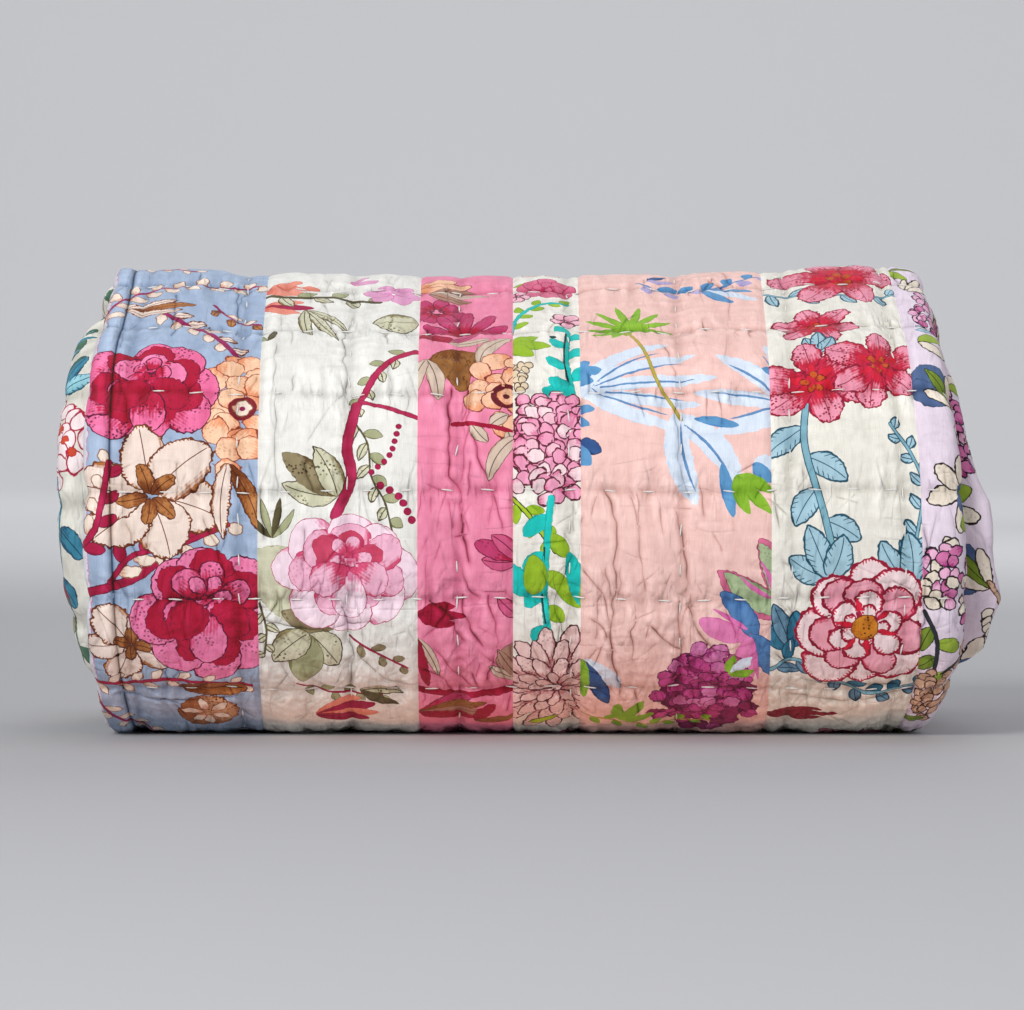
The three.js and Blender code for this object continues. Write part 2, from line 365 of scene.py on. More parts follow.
class Cloth:
    """The faces of a piece by their corners' places in the cloth, and the shapes printed there."""

    def __init__(self, mesh, c, s):
        corners = np.empty(len(mesh.loops), np.int32)
        mesh.loops.foreach_get("vertex_index", corners)
        self.mesh = mesh
        self.c, self.s = (v[corners].reshape(-1, 4) / mm for v in (c, s))
        self.middle_c, self.middle_s = self.c.mean(1), self.s.mean(1)
        self.shapes = np.ones((3, len(self.c), 4, 4), np.float32)
        self.shapes[..., 1] = far_off
        self.inks = np.zeros((3, len(self.c)), np.float32)
        self.cover = np.zeros((3, len(self.c)), np.float32)
        self.down = 0          # how far down the cloth the repeat being printed lies

    def near(self, low, high):
        return np.nonzero((self.middle_c > low[0]) & (self.middle_c < high[0])
                          & (self.middle_s > low[1] + self.down)
                          & (self.middle_s < high[1] + self.down))[0]

    def lay(self, faces, p, q, half_width, half_length, ink):
        """Prints a shape on the faces that it reaches, over what is there. p runs from 0 to 1
        along the shape, and q from -1 to 1 across its widest part. A face that has three shapes
        already gives up the one that covers the least of it."""
        skew, point = self.palette[ink].form[:2]
        x = 2 * np.sign(p) * np.abs(p) ** skew - 1
        power = 1 / point
        slope = np.hypot(2 * x / half_length, power * np.abs(q) ** (power - 1) / half_width)
        inside = (1 - x * x - np.abs(q) ** power) / np.maximum(slope, 1e-6)
        touched = inside.max(1) > -ragged_room
        faces, inside = faces[touched], inside[touched]
        kept = two_of_three[np.argmin(self.cover[:, faces], axis=0)].T
        new = np.stack(np.broadcast_arrays(p, q, half_width, half_length), -1)[touched]
        number = np.full((1, len(faces)), list(self.palette).index(ink) + 1)
        cover = np.clip(inside + 0.5, 0, 1).mean(1)[None]
        hidden = inside.min(1) > 1
        self.shapes[:, faces] = np.concatenate([self.shapes[kept, faces], new[None]])
        self.inks[:, faces] = np.concatenate([self.inks[kept, faces], number])
        self.cover[:, faces] = np.concatenate([self.cover[kept, faces] * ~hidden, cover])

    def lay_creases(self):
        """Gives each face its nearest crease, for the bump and the painted shade: how far off to its side and
        past its ends in mm.
        """
        nearest = np.full(len(self.c), float(crease_reach))
        lies = np.zeros((len(self.c), 4, 4), np.float32)
        lies[..., 0] = far_off
        for deep, _, line, faces in creases_near(self.middle_c, self.middle_s):
            aside, past = beside_line(line, self.c[faces], self.s[faces])
            off = np.hypot(aside, past).mean(1)
            closer = off < nearest[faces]
            nearest[faces[closer]] = off[closer]
            depth = min(deep, 1.4) * 1.25 * crease_fade(self.c[faces], self.s[faces])
            lies[faces[closer]] = np.stack([aside, past, depth, depth], -1)[closer]
        # the hem's sewn line counts as a crease too, which gives it a dip and a painted dark line
        off_edge = self.c - edge_line(self.s * mm) / mm
        beside_edge = np.abs(off_edge).mean(1) < np.minimum(nearest, 5)
        level = off_edge * 0
        hem_crease = np.stack([off_edge, level, level + hem_crease_depth, level], -1)
        lies[beside_edge] = hem_crease[beside_edge]
        self.write("crease", "FLOAT_COLOR", "CORNER", "color", lies)

    def write(self, name, kind, domain, field, values):
        layer = self.mesh.attributes.new(name, kind, domain)
        layer.data.foreach_set(field, values.astype(np.float32).ravel())

    def finish(self):
        """Writes the shapes and inks to the mesh."""
        for name, shapes in zip(face_shapes, self.shapes):
            self.write(name, "FLOAT_COLOR", "CORNER", "color", shapes)
        self.write("inks", "FLOAT_VECTOR", "FACE", "vector", self.inks.T / ink_steps)


ink_steps = 32            # the places that a ramp of inks has


class Ink:
    """A printed colour and how its shapes are drawn. form is where the widest part lies, how
    pointed the ends are and the outline's width in mm. shade is how far the deep colour runs up
    from the base, how far it comes in from one side and how ragged the edge is in mm. marks is
    how strong the veins are, how far the deep colour licks in from the outline in mm, and dots."""

    def __init__(self, fill, deep, line, form=(1, 0.8, 0.45), shade=(0, 0, 0.3), marks=(0, 0, 0)):
        self.fill, self.deep, self.line = fill, deep, line
        self.form, self.shade, self.marks = form, shade, marks


def leaf(cloth, ink, base, tip, width, bend=0):
    """A leaf or petal from its base to its tip. bend is its sag, as a share of its length."""
    base, tip = np.array(base, float), np.array(tip, float)
    length = np.hypot(*(tip - base))
    along = (tip - base) / length
    room = width * 0.7 + abs(bend) * length + 1
    faces = cloth.near(np.minimum(base, tip) - room, np.maximum(base, tip) + room)
    dc, ds = cloth.c[faces] - base[0], cloth.s[faces] - cloth.down - base[1]
    p = (dc * along[0] + ds * along[1]) / length
    q = (ds * along[0] - dc * along[1] - bend * length * 4 * p * (1 - p)) / (width / 2)
    cloth.lay(faces, p, q, width / 2, length / 2, ink)


def stem(cloth, ink, width, *points):
    line = smooth_line(points)
    faces = cloth.near(line.min(0) - width, line.max(0) + width)
    aside, past = beside_line(line, cloth.c[faces], cloth.s[faces] - cloth.down)
    cloth.lay(faces, 0.5 + past / width, aside / (width / 2), width / 2, width / 2, ink)


def ring(cloth, ink, centre, inner, outer, count, width, turn=0.0, squash=1.0, seed=1):
    """Petals set round a centre, from inner to outer radius, a little uneven."""
    rng = np.random.default_rng(seed)
    for k in range(count):
        angle = 2 * math.pi * (k + turn + rng.uniform(-0.16, 0.16)) / count
        reach = outer * rng.uniform(0.88, 1.1)
        way = np.array([math.cos(angle), math.sin(angle) * squash])
        leaf(cloth, ink, np.array(centre) + way * inner, np.array(centre) + way * reach,
             width * rng.uniform(0.88, 1.12), rng.uniform(-0.06, 0.06))


def disc(cloth, ink, centre, radius):
    leaf(cloth, ink, (centre[0] - radius, centre[1]), (centre[0] + radius, centre[1]), radius * 2)


def mound(cloth, inks, low, high, size, seed=1):
    """Small round petals packed between two corners in an oval, facing all ways."""
    rng = np.random.default_rng(seed)
    low, high = np.array(low, float), np.array(high, float)
    middle, half = (low + high) / 2, (high - low) / 2
    for down in np.arange(low[1], high[1] + size / 2, size * 0.72):
        for across in np.arange(low[0], high[0] + size / 2, size * 0.78):
            place = np.array([across, down]) + rng.uniform(-0.3, 0.3, 2) * size
            if np.sum(((place - middle) / half) ** 2) < 1.15:
                angle = rng.uniform(0, 2 * math.pi)
                way = np.array([math.cos(angle), math.sin(angle)]) * size * rng.uniform(0.5, 0.68)
                ink = inks[rng.integers(len(inks))]
                leaf(cloth, ink, place - way, place + way, size * rng.uniform(0.8, 1.1))


def rose(cloth, inks, centre, size, squash=0.9, seed=1, folded=3):
    """A full flower: broad petals, ring within ring, each ring in the next ink from the outside.
    Where front petals are folded up over it, its heart lies higher than its middle."""
    centre = np.array(centre, float)
    rise = np.array([0, size * 0.09 if folded else 0])
    disc(cloth, inks[-1], centre, size * 0.6)
    for k, ink in enumerate(inks):
        reach = size * (1 - k / (len(inks) + 0.4))
        heart = centre - rise * k
        ring(cloth, ink, heart, reach * 0.12, reach, 8 - k, reach * 0.7, 0.35 * k, squash, seed + k)
    if folded:
        fan(cloth, inks[1::-1], centre - rise, centre + (0, size * 0.66), folded, 2, size * 0.5)


def lily(cloth, inks, centre, size, turn=0.0, seed=1):
    """Six pointed petals, with a flare in the second ink and stamens' tips in the third."""
    disc(cloth, inks[1], centre, size * 0.35)
    ring(cloth, inks[0], centre, size * 0.08, size, 6, size * 0.56, turn, 0.9, seed)
    ring(cloth, inks[1], centre, 0, size * 0.42, 6, size * 0.17, turn, 0.9, seed)
    ring(cloth, inks[2], centre, size * 0.04, size * 0.22, 5, size * 0.13, turn + 0.5, 1, seed + 1)


def sprig(cloth, inks, width, size, *points):
    """A stem with leaves to its left and right by turns, smaller towards its end. Its inks are the
    stem's and then the leaves', which come in turn."""
    line = smooth_line(points)
    every = max(1, round(size / 5))
    for k, n in enumerate(range(every, len(line), every)):
        ahead = (line[n] - line[n - 1]) / np.hypot(*(line[n] - line[n - 1]))
        beside = np.array([-ahead[1], ahead[0]]) * (-1) ** k
        way = (ahead * 0.7 + beside * 0.75) * size * (1 - 0.4 * n / len(line))
        leaf(cloth, inks[1 + k % (len(inks) - 1)], line[n], line[n] + way, size * 0.5, 0.05 * (-1) ** k)
    stem(cloth, inks[0], width, *points)


def fan(cloth, inks, foot, tip, count, spread, width):
    """Leaves fanned out from one foot over an angle in radians, the longest towards the tip."""
    reach = np.subtract(tip, foot)
    for k, share in enumerate(np.linspace(-1, 1, count)):
        cos, sin = math.cos(share * spread / 2), math.sin(share * spread / 2)
        way = np.array([reach[0] * cos - reach[1] * sin, reach[0] * sin + reach[1] * cos])
        leaf(cloth, inks[k % len(inks)], foot, foot + way * (1 - 0.2 * abs(share)), width, 0.06 * share)


def beads(cloth, ink, radius, *points):
    for place in smooth_line(points, radius * 2.8):
        disc(cloth, ink, place, radius)


def print_cloth(cloth, cotton):
    """Prints a cotton's design on a piece of it, with its repeats up and down the cloth. A motif
    is its kind of shape, its ink or inks and its sizes in mm. One with no kind is a single leaf."""
    cloth.palette = cotton.palette
    for cloth.down in cotton.repeats:
        for motif in cotton.motifs:
            shape, ink, *sizes = motif if callable(motif[0]) else (leaf, *motif)
            shape(cloth, ink, *sizes)
    cloth.finish()


class Term:
    """A value in a shader, so that sums on it can be written as sums."""

    def __init__(self, tree, socket):
        self.tree, self.socket = tree, socket

    def math(self, operation, *others, clamp=False):
        node = self.tree.nodes.new("ShaderNodeMath")
        node.operation, node.use_clamp = operation, clamp
        for socket, value in zip(node.inputs, (self, *others)):
            give(self.tree, socket, value)
        return Term(self.tree, node.outputs[0])

    def __add__(self, other):
        return self.math("ADD", other)

    def __sub__(self, other):
        return self.math("SUBTRACT", other)

    def __mul__(self, other):
        return self.math("MULTIPLY", other)

    def __truediv__(self, other):
        return self.math("DIVIDE", other)

    def __pow__(self, other):
        return self.math("POWER", other)

    def __abs__(self):
        return self.math("ABSOLUTE")

    def step(self, edge, sharp):
        """0 below the edge and 1 above it, over a short slope."""
        return ((self - edge) * sharp).math("ADD", 0.5, clamp=True)


def give(tree, socket, value):
    """Sets a socket, or links a term or another socket to it."""
    if isinstance(value, Term):
        value = value.socket
    if isinstance(value, bpy.types.NodeSocket):
        tree.links.new(value, socket)
    else:
        socket.default_value = value


def node_of(tree, kind, inputs, **settings):
    """A new node, its inputs given by name or place."""
    node = tree.nodes.new(kind)
    for name, value in settings.items():
        setattr(node, name, value)
    for key, value in inputs.items():
        give(tree, node.inputs[key], value)
    return node


def mix_colours(tree, share, first, second):
    node = tree.nodes.new("ShaderNodeMix")
    node.data_type = "RGBA"
    for key, value in ((0, share), (6, first), (7, second)):
        give(tree, node.inputs[key], value)
    return Term(tree, node.outputs[2])


def new_group(name, inputs, outputs):
    tree = bpy.data.node_groups.new(name, "ShaderNodeTree")
    for label, kind in inputs.items():
        tree.interface.new_socket(label, in_out="INPUT", socket_type="NodeSocket" + kind)
    for label, kind in outputs.items():
        tree.interface.new_socket(label, in_out="OUTPUT", socket_type="NodeSocket" + kind)
    given, made = tree.nodes.new("NodeGroupInput"), tree.nodes.new("NodeGroupOutput")
    return tree, {socket.name: Term(tree, socket) for socket in given.outputs}, made


def parts_of(tree, value):
    node = node_of(tree, "ShaderNodeSeparateXYZ", {0: value})
    return [Term(tree, socket) for socket in node.outputs]


# The most that each part of an ink's form, shade and marks can be, so that they fit in a colour.
form_scale, shade_scale, marks_scale = (2, 1.25, 2), (1, 1, 2), (1, 4, 1)

# One printed shape laid over what is under it.
printed_shape, given, made = new_group("Printed shape", {
    "Place": "Color", "Half length": "Float", "Fill": "Color", "Deep": "Color", "Line": "Color",
    "Form": "Vector", "Shade": "Vector", "Marks": "Vector", "Ragged": "Float", "Brush": "Float",
    "Dots": "Float", "Under": "Color"}, {"Colour": "Color"})
tree = printed_shape
p, q, half_across = parts_of(tree, given["Place"])
half_along = given["Half length"]
skew, point, line_width = (term * scale for term, scale in zip(parts_of(tree, given["Form"]), form_scale))
depth, side, ragged = (term * scale for term, scale in zip(parts_of(tree, given["Shade"]), shade_scale))
veins, flames, dots = (term * scale for term, scale in zip(parts_of(tree, given["Marks"]), marks_scale))
x = (abs(p) ** skew) * p.math("SIGN") * 2 - 1
power = point ** -1
level = (x * x * -1 + 1) - abs(q) ** power
slope_across = power * (abs(q).math("MAXIMUM", 0.001) ** (power - 1)) / half_across
slope = ((x * 2 / half_along) ** 2 + slope_across ** 2) ** 0.5
inside = level / slope.math("MAXIMUM", 0.0001) + given["Ragged"] * ragged
streak = (q * half_across * 4.3 + (p * 9).math("SINE")).math("SINE") + given["Ragged"] * 2
from_base = (depth * 1.5 - 0.2) - p + streak * 0.06 + given["Brush"] * 0.7
from_side = (side * 1.2 - 1) + q + streak * 0.04 + given["Brush"] * 0.6
beside = abs(q).step(0.5, 3)
along_tip = (q * half_across * 4.6).math("SINE") * (beside * -1 + 1)
along_side = (p * half_along * 8 + q * 3).math("SINE") * beside
tongue = (along_tip + along_side) * 0.36 + given["Ragged"] * 1.0 + given["Brush"] * 1.5 + 0.3
licks = (flames * tongue - inside) * flames.step(0.02, 60)
deep = from_base.math("MAXIMUM", from_side).step(0, 4).math("MAXIMUM", licks.step(0, 4))
colour = mix_colours(tree, deep, given["Fill"], given["Deep"])
midrib = (abs(q) * half_across).step(0.22, -9) * veins.step(0.2, 20) * p.step(0.06, 30) * p.step(0.93, -30)
slant = ((p * half_along * 2 - abs(q) * half_across * 0.9) / 2.6).math("FRACT")
near_margin = (abs(q) + given["Ragged"] * 0.4).step(0.55, 12)
side_veins = abs(slant - 0.5).step(0.1, -12) * veins.step(0.7, 20) * near_margin
spots = given["Dots"] * dots * p.step(0.36, 5)
outline = (inside + given["Brush"] * 0.9).step(line_width, -5) * line_width.step(0.02, 60)
marked = midrib.math("MAXIMUM", side_veins).math("MAXIMUM", spots)
drawn = mix_colours(tree, marked.math("MAXIMUM", outline), colour, given["Line"])
give(tree, made.inputs["Colour"], mix_colours(tree, inside.step(0, 6), given["Under"], drawn))

# The woven cotton under the print, by its UV map: threads and slubs along and across the cloth,
# and the sharp crinkles that washing leaves, closest near the stitched rows, with painted shade along them.
woven_cotton, given, made = new_group("Woven cotton", {"Place": "Vector", "Pull": "Float"}, {
    "Tone and crinkle shade": "Float", "Height": "Float", "Ragged": "Float", "Brush": "Float", "Dots": "Float"})
tree = woven_cotton


def noise_at(tree, place, scale, detail=1.0, stretch=(1, 1, 1)):
    moved = node_of(tree, "ShaderNodeMapping", {"Vector": place, "Scale": stretch})
    node = node_of(tree, "ShaderNodeTexNoise", {"Vector": moved.outputs[0], "Scale": scale, "Detail": detail})
    return Term(tree, node.outputs["Fac"]) - 0.5


def crinkles(width, stretch, broken):
    """Thin lines, in pieces, where a smooth noise crosses its middle."""
    line = (abs(noise_at(tree, given["Place"], 1, 1, stretch)) / -width + 1).math("MAXIMUM", 0)
    return line * noise_at(tree, given["Place"], 1, 0, broken).step(0.02, 8)


warp_slubs = noise_at(tree, given["Place"], 1, 0, (2600, 150, 1))
weft_slubs = noise_at(tree, given["Place"], 1, 0, (210, 2600, 1))
patches = noise_at(tree, given["Place"], 22, 2)
lengthwise = crinkles(0.04, (75, 22, 1), (45, 25, 2))
crosswise = crinkles(0.035, (24, 75, 5), (45, 45, 7))
pleats = crinkles(0.08, (190, 34, 9), (70, 30, 11)) * given["Pull"]
sharp = lengthwise * (given["Pull"] * 0.6 + 0.7) + crosswise * 0.45 + pleats
slubs = (warp_slubs * 1.3 + weft_slubs * 0.6) * 0.12
# the tone, with painted shade darkening it along the crinkles
give(tree, made.inputs["Tone and crinkle shade"], slubs + patches * 0.06 + 1 - sharp * 0.09)
fine_folds = noise_at(tree, given["Place"], 1, 2, (380, 110, 1))
facets = abs(noise_at(tree, given["Place"], 1, 1.5, (170, 105, 5)))
folded = fine_folds * (given["Pull"] * 2.6 + 1.1) + facets * (given["Pull"] * 9 + 2.5)
give(tree, made.inputs["Height"], (warp_slubs + weft_slubs) * 0.2 + folded - sharp * 1.7)
give(tree, made.inputs["Ragged"], noise_at(tree, given["Place"], 330, 1) * 2)
give(tree, made.inputs["Brush"], noise_at(tree, given["Place"], 1, 3, (520, 210, 3)))
spots = node_of(tree, "ShaderNodeTexVoronoi", {"Vector": given["Place"], "Scale": 480},
                voronoi_dimensions="2D")
patchy = noise_at(tree, given["Place"], 130, 0).step(0.04, 6)
give(tree, made.inputs["Dots"], Term(tree, spots.outputs["Distance"]).step(0.24, -12) * patchy)


def linear(colour):
    """A colour given by its six hexadecimal digits, as Blender takes it."""
    parts = [int(colour[k:k + 2], 16) / 255 for k in (0, 2, 4)]
    return (*(v / 12.92 if v < 0.04045 else ((v + 0.055) / 1.055) ** 2.4 for v in parts), 1)


def ink_ramp(tree, place, values):
    """A ramp that gives each ink its own value."""
    node = node_of(tree, "ShaderNodeValToRGB", {"Fac": place})
    node.color_ramp.interpolation = "CONSTANT"
    for k, value in enumerate(values):
        spot = node.color_ramp.elements[0] if k == 0 else node.color_ramp.elements.new((k - 0.5) / ink_steps)
        spot.color = value
    while len(node.color_ramp.elements) > len(values):
        node.color_ramp.elements.remove(node.color_ramp.elements[-1])
    return node.outputs["Color"]


def new_material(name, values):
    """A material, its nodes and its shader, with the shader's plain values by their names."""
    material = bpy.data.materials.new(name)
    material.use_nodes = True
    shader = material.node_tree.nodes["Principled BSDF"]
    for label, value in values.items():
        shader.inputs[label].default_value = value
    return material, material.node_tree, shader


washed_cotton = {"Roughness": 0.86, "Sheen Weight": 0.1, "Specular IOR Level": 0.25}
weave_depth = 0.25 * mm


class Cotton:
    """A printed cloth: its ground colour, its inks, its motifs, and the length in mm after which
    they come again. copies is how often, up and down the cloth."""

    def __init__(self, name, ground, palette, repeat, motifs, copies=(-1, 1, 0)):
        self.palette, self.motifs = palette, motifs
        self.repeats = [repeat * copy for copy in copies]
        self.material, tree, cotton = new_material(name, washed_cotton)
        place = node_of(tree, "ShaderNodeUVMap", {}, uv_map="cloth").outputs[0]
        weave = node_of(tree, "ShaderNodeGroup", {}, node_tree=woven_cotton)
        give(tree, weave.inputs["Place"], place)
        lie = node_of(tree, "ShaderNodeAttribute", {}, attribute_name="lie")
        hollow, pull, _ = parts_of(tree, lie.outputs["Vector"])
        give(tree, weave.inputs["Pull"], pull)
        inks = [Ink(ground, ground, ground), *palette.values()]
        scaled = {"Form": ("form", form_scale), "Shade": ("shade", shade_scale),
                  "Marks": ("marks", marks_scale)}
        colour = linear(ground)
        laid_inks = node_of(tree, "ShaderNodeAttribute", {}, attribute_name="inks")
        ink_places = parts_of(tree, laid_inks.outputs["Vector"])
        for layer, ink_place in zip(face_shapes, ink_places):
            shape = node_of(tree, "ShaderNodeAttribute", {}, attribute_name=layer)
            laid = {"Place": shape.outputs["Color"], "Half length": shape.outputs["Alpha"], "Under": colour}
            for label in ("Fill", "Deep", "Line"):
                laid[label] = ink_ramp(tree, ink_place, [linear(getattr(ink, label.lower())) for ink in inks])
            for label, (kind, scale) in scaled.items():
                values = [[v / k for v, k in zip(getattr(ink, kind), scale)] for ink in inks]
                laid[label] = ink_ramp(tree, ink_place, [(*value, 1) for value in values])
            for label in ("Ragged", "Brush", "Dots"):
                laid[label] = weave.outputs[label]
            group = node_of(tree, "ShaderNodeGroup", {}, node_tree=printed_shape)
            for label, value in laid.items():
                give(tree, group.inputs[label], value)
            colour = group.outputs["Colour"]
        # The crease attribute dips the bump, and with the hollows it paints shade into the colour.
        crease = node_of(tree, "ShaderNodeAttribute", {}, attribute_name="crease")
        aside, past, depth = parts_of(tree, crease.outputs["Vector"])
        off = (aside * aside + past * past) ** 0.5
        cut = (off * -2.8).math("EXPONENT") * depth
        tuck_over = (off * -0.5).math("EXPONENT") * aside.math("SIGN") * depth
        # painted shade, darker and deeper in creases and hollows, and painted light, lighter on ridges
        painted_shade = (hollow * -0.4 + 1.2) * (cut * -0.4 + 1).math("MAXIMUM", 0.4)
        tone_with_painted_shade = Term(tree, weave.outputs["Tone and crinkle shade"]) * painted_shade
        painted_shade_gamma = node_of(tree, "ShaderNodeGamma", {"Color": colour, "Gamma": cut * 0.7 + hollow * 0.3 + 0.85})
        toned = node_of(tree, "ShaderNodeVectorMath", {0: painted_shade_gamma.outputs[0], "Scale": tone_with_painted_shade},
                        operation="SCALE")
        give(tree, cotton.inputs["Base Color"], toned.outputs[0])
        height = Term(tree, weave.outputs["Height"]) + tuck_over * 1.4 - cut * 2.4
        bump = node_of(tree, "ShaderNodeBump", {"Height": height, "Distance": weave_depth, "Strength": 1.0})
        give(tree, cotton.inputs["Normal"], bump.outputs[0])


# --- The outer layer's strips -----------------------------------------------------------------
# Long strips of printed cotton sewn edge to edge with the seams pressed open, which run round the
# roll. The seams lie in narrow grooves. The first strip is turned in at the hem, and the last one
# carries on round the fold.
seams = [-197, -120.7, -49.6, -7, 23.2, 108.1, 174.8, 194]     # in mm from the layer's middle
hem_radius, fold_radius = 3.9 * mm, 7.2 * mm
hem_turn = seams[0] * mm + hem_radius      # where the cloth starts to turn in at the hem
cell = 1.25 * mm          # the cloth's faces


def seam_groove(x):
    off = np.min([np.abs(x - seam * mm) for seam in seams[1:-1]], axis=0)
    return -0.9 * mm * np.exp(-((off / (1.3 * mm)) ** 2))


def fold_radius_at(s):
    """The fold's radius, which is half of the two outer layers' thickness there."""
    part = np.minimum(np.interp(s, skin_lengths, skin_turns), 1)
    loft = section_at(angle_of(part), radius_column) / mean_radius
    loft = loft * (1 + (part - smooth_step(part, loose_from, 1)) / 2)
    return fold_radius * loft


def on_layer(c, s):
    """A place on the outer layer: c across the cloth, s along it. Past the turns, c goes on
    round the hem on the left or the fold on the right, and s goes round the hem at the loose end."""
    fold_radius = fold_radius_at(s)
    fold_turn = seams[-1] * mm - fold_radius
    over_hem, over_fold = np.maximum(hem_turn - c, 0), np.maximum(c - fold_turn, 0)
    round_hem = np.minimum(over_hem / hem_radius, np.pi)
    round_fold = np.minimum(over_fold / fold_radius, np.pi)
    under = np.maximum(over_hem - np.pi * hem_radius, 0) - np.maximum(over_fold - np.pi * fold_radius, 0)
    flat = np.clip(c, hem_turn, fold_turn)
    h = relief(c, s) + seam_groove(c)
    x = flat - (hem_radius + h) * np.sin(round_hem) + (fold_radius + h) * np.sin(round_fold) + under
    turned = np.where(over_hem > 0, round_hem, round_fold)
    radius = np.where(over_hem > 0, hem_radius, fold_radius)
    lift = (radius + h) * np.cos(turned) - radius
    over_end = np.maximum(hem_radius - s, 0)
    round_end = np.minimum(over_end / hem_radius, np.pi)
    past_hem = np.maximum(over_end - np.pi * hem_radius, 0)
    s = np.maximum(s, hem_radius) - hem_radius * np.sin(round_end) + past_hem
    lift = np.minimum(lift, (hem_radius + h) * np.cos(round_end) - hem_radius)
    return on_skin(x, s, lift)


hollow_cells = 9          # the width over which a place is compared with the cloth round it


def hollow_of(height, across, along):
    """How far each place of a grid lies below the cloth round it: 0 on a ridge, 1 in a crease. The cotton's
    colour gets painted shade in a hollow and painted light on a ridge by it.
    """
    grid = height.reshape(along + 1, across + 1)
    blurred = grid
    for axis in (0, 1):
        size = min(hollow_cells, grid.shape[axis] // 2 * 2 - 1)
        pad = [(size // 2, size // 2) if k == axis else (0, 0) for k in (0, 1)]
        window = np.lib.stride_tricks.sliding_window_view(np.pad(blurred, pad, "edge"), size, axis=axis)
        blurred = window.mean(-1)
    return np.clip(0.5 + (blurred - grid).ravel() / (1.6 * mm), 0, 1)


def pull_at(c, s):
    """How hard the stitches near a place pull on the cloth, 0 to 1."""
    off_row = s - row_line(np.round((s - row_on_front) / square), c)
    off_column = c - column_line(np.round((c - column_by_middle) / square), s)
    beside_rows = np.exp(-np.abs(off_row) / (9 * mm)) * 0.8 + np.exp(-np.abs(off_column) / (7 * mm)) * 0.4
    return beside_rows + 0.35 * smooth_step(s, slump_from, slump_to)


bake_gap = 0.01           # of a column's width


def mesh_of(bm, name):
    mesh = bpy.data.meshes.new(name)
    bm.to_mesh(mesh)
    bm.free()
    return mesh


def put(mesh, material):
    """Puts a mesh in the scene as an object of its own name."""
    mesh.materials.append(material)
    made = bpy.data.objects.new(mesh.name, mesh)
    bpy.context.scene.collection.objects.link(made)
    return made


def put_on_roll(mesh, material):
    """Puts a finished mesh in the scene as a piece of the roll."""
    piece = put(mesh, material)
    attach(piece, "root")
    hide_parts("rolled_quilt")
    return piece


def cloth_piece(name, wide, long, place, cotton, height, cell=cell):
    """A printed sheet of small cells, put in its place. wide and long are its spans in the cloth,
    in metres. place gives the corners' places from their two cloth coordinates, and height how
    high they lie over the cloth's smooth form."""
    bm = bmesh.new()
    across, along = (max(2, round((span[1] - span[0]) / cell)) for span in (wide, long))
    bmesh.ops.create_grid(bm, x_segments=across, y_segments=along, size=1)
    bmesh.ops.reverse_faces(bm, faces=bm.faces)
    mesh = mesh_of(bm, name)
    flat = np.empty(len(mesh.vertices) * 3, np.float32)
    mesh.vertices.foreach_get("co", flat)
    share = (flat.reshape(-1, 3)[:, :2].astype(float) + 1) / 2
    c = wide[0] + share[:, 0] * (wide[1] - wide[0])
    s = long[0] + share[:, 1] * (long[1] - long[0])
    mesh.vertices.foreach_set("co", place(c, s).astype(np.float32).ravel())
    mesh.polygons.foreach_set("use_smooth", [True] * len(mesh.polygons))
    corners = np.empty(len(mesh.loops), np.int32)
    mesh.loops.foreach_get("vertex_index", corners)
    mesh.uv_layers.new(name="cloth").data.foreach_set("uv", np.stack([c, s], -1)[corners].ravel())
    # the second map, OFBake: the strip cut in columns side by side, with gaps
    columns = max(1, round(math.sqrt(along / across)))
    spread = share[corners].reshape(-1, 4, 2)
    column = np.minimum(np.floor(spread[..., 1].mean(1) * columns), columns - 1)[:, None]
    baked = [(column + bake_gap + (1 - 2 * bake_gap) * spread[..., 0]) / columns,
             bake_gap / 2 + (1 - bake_gap) * (spread[..., 1] * columns - column)]
    mesh.uv_layers.new(name="OFBake").data.foreach_set("uv", np.stack(baked, -1).ravel())
    # how deep each place lies in a hollow, for the painted shade and light in the colour, and how hard the
    # stitches pull there
    lie = np.stack([hollow_of(height(c, s), across, along), pull_at(c, s), c * 0], -1).astype(np.float32)
    mesh.attributes.new("lie", "FLOAT_VECTOR", "POINT").data.foreach_set("vector", lie.ravel())
    mesh.update()
    cloth = Cloth(mesh, c, s)
    if height is relief:
        cloth.lay_creases()
    print_cloth(cloth, cotton)
    return put_on_roll(mesh, cotton.material)


end_turned_in = np.pi * hem_radius + 6 * mm      # the cloth that goes round the loose end's hem


def strip_piece(number, name, cotton, past_left=0, past_right=0):
    """One of the outer layer's strips between two seams."""
    wide = ((seams[number] - past_left) * mm, (seams[number + 1] + past_right) * mm)
    long = (hem_radius - end_turned_in, skin_length)
    piece = cloth_piece(name, wide, long, on_layer, cotton, height=relief)


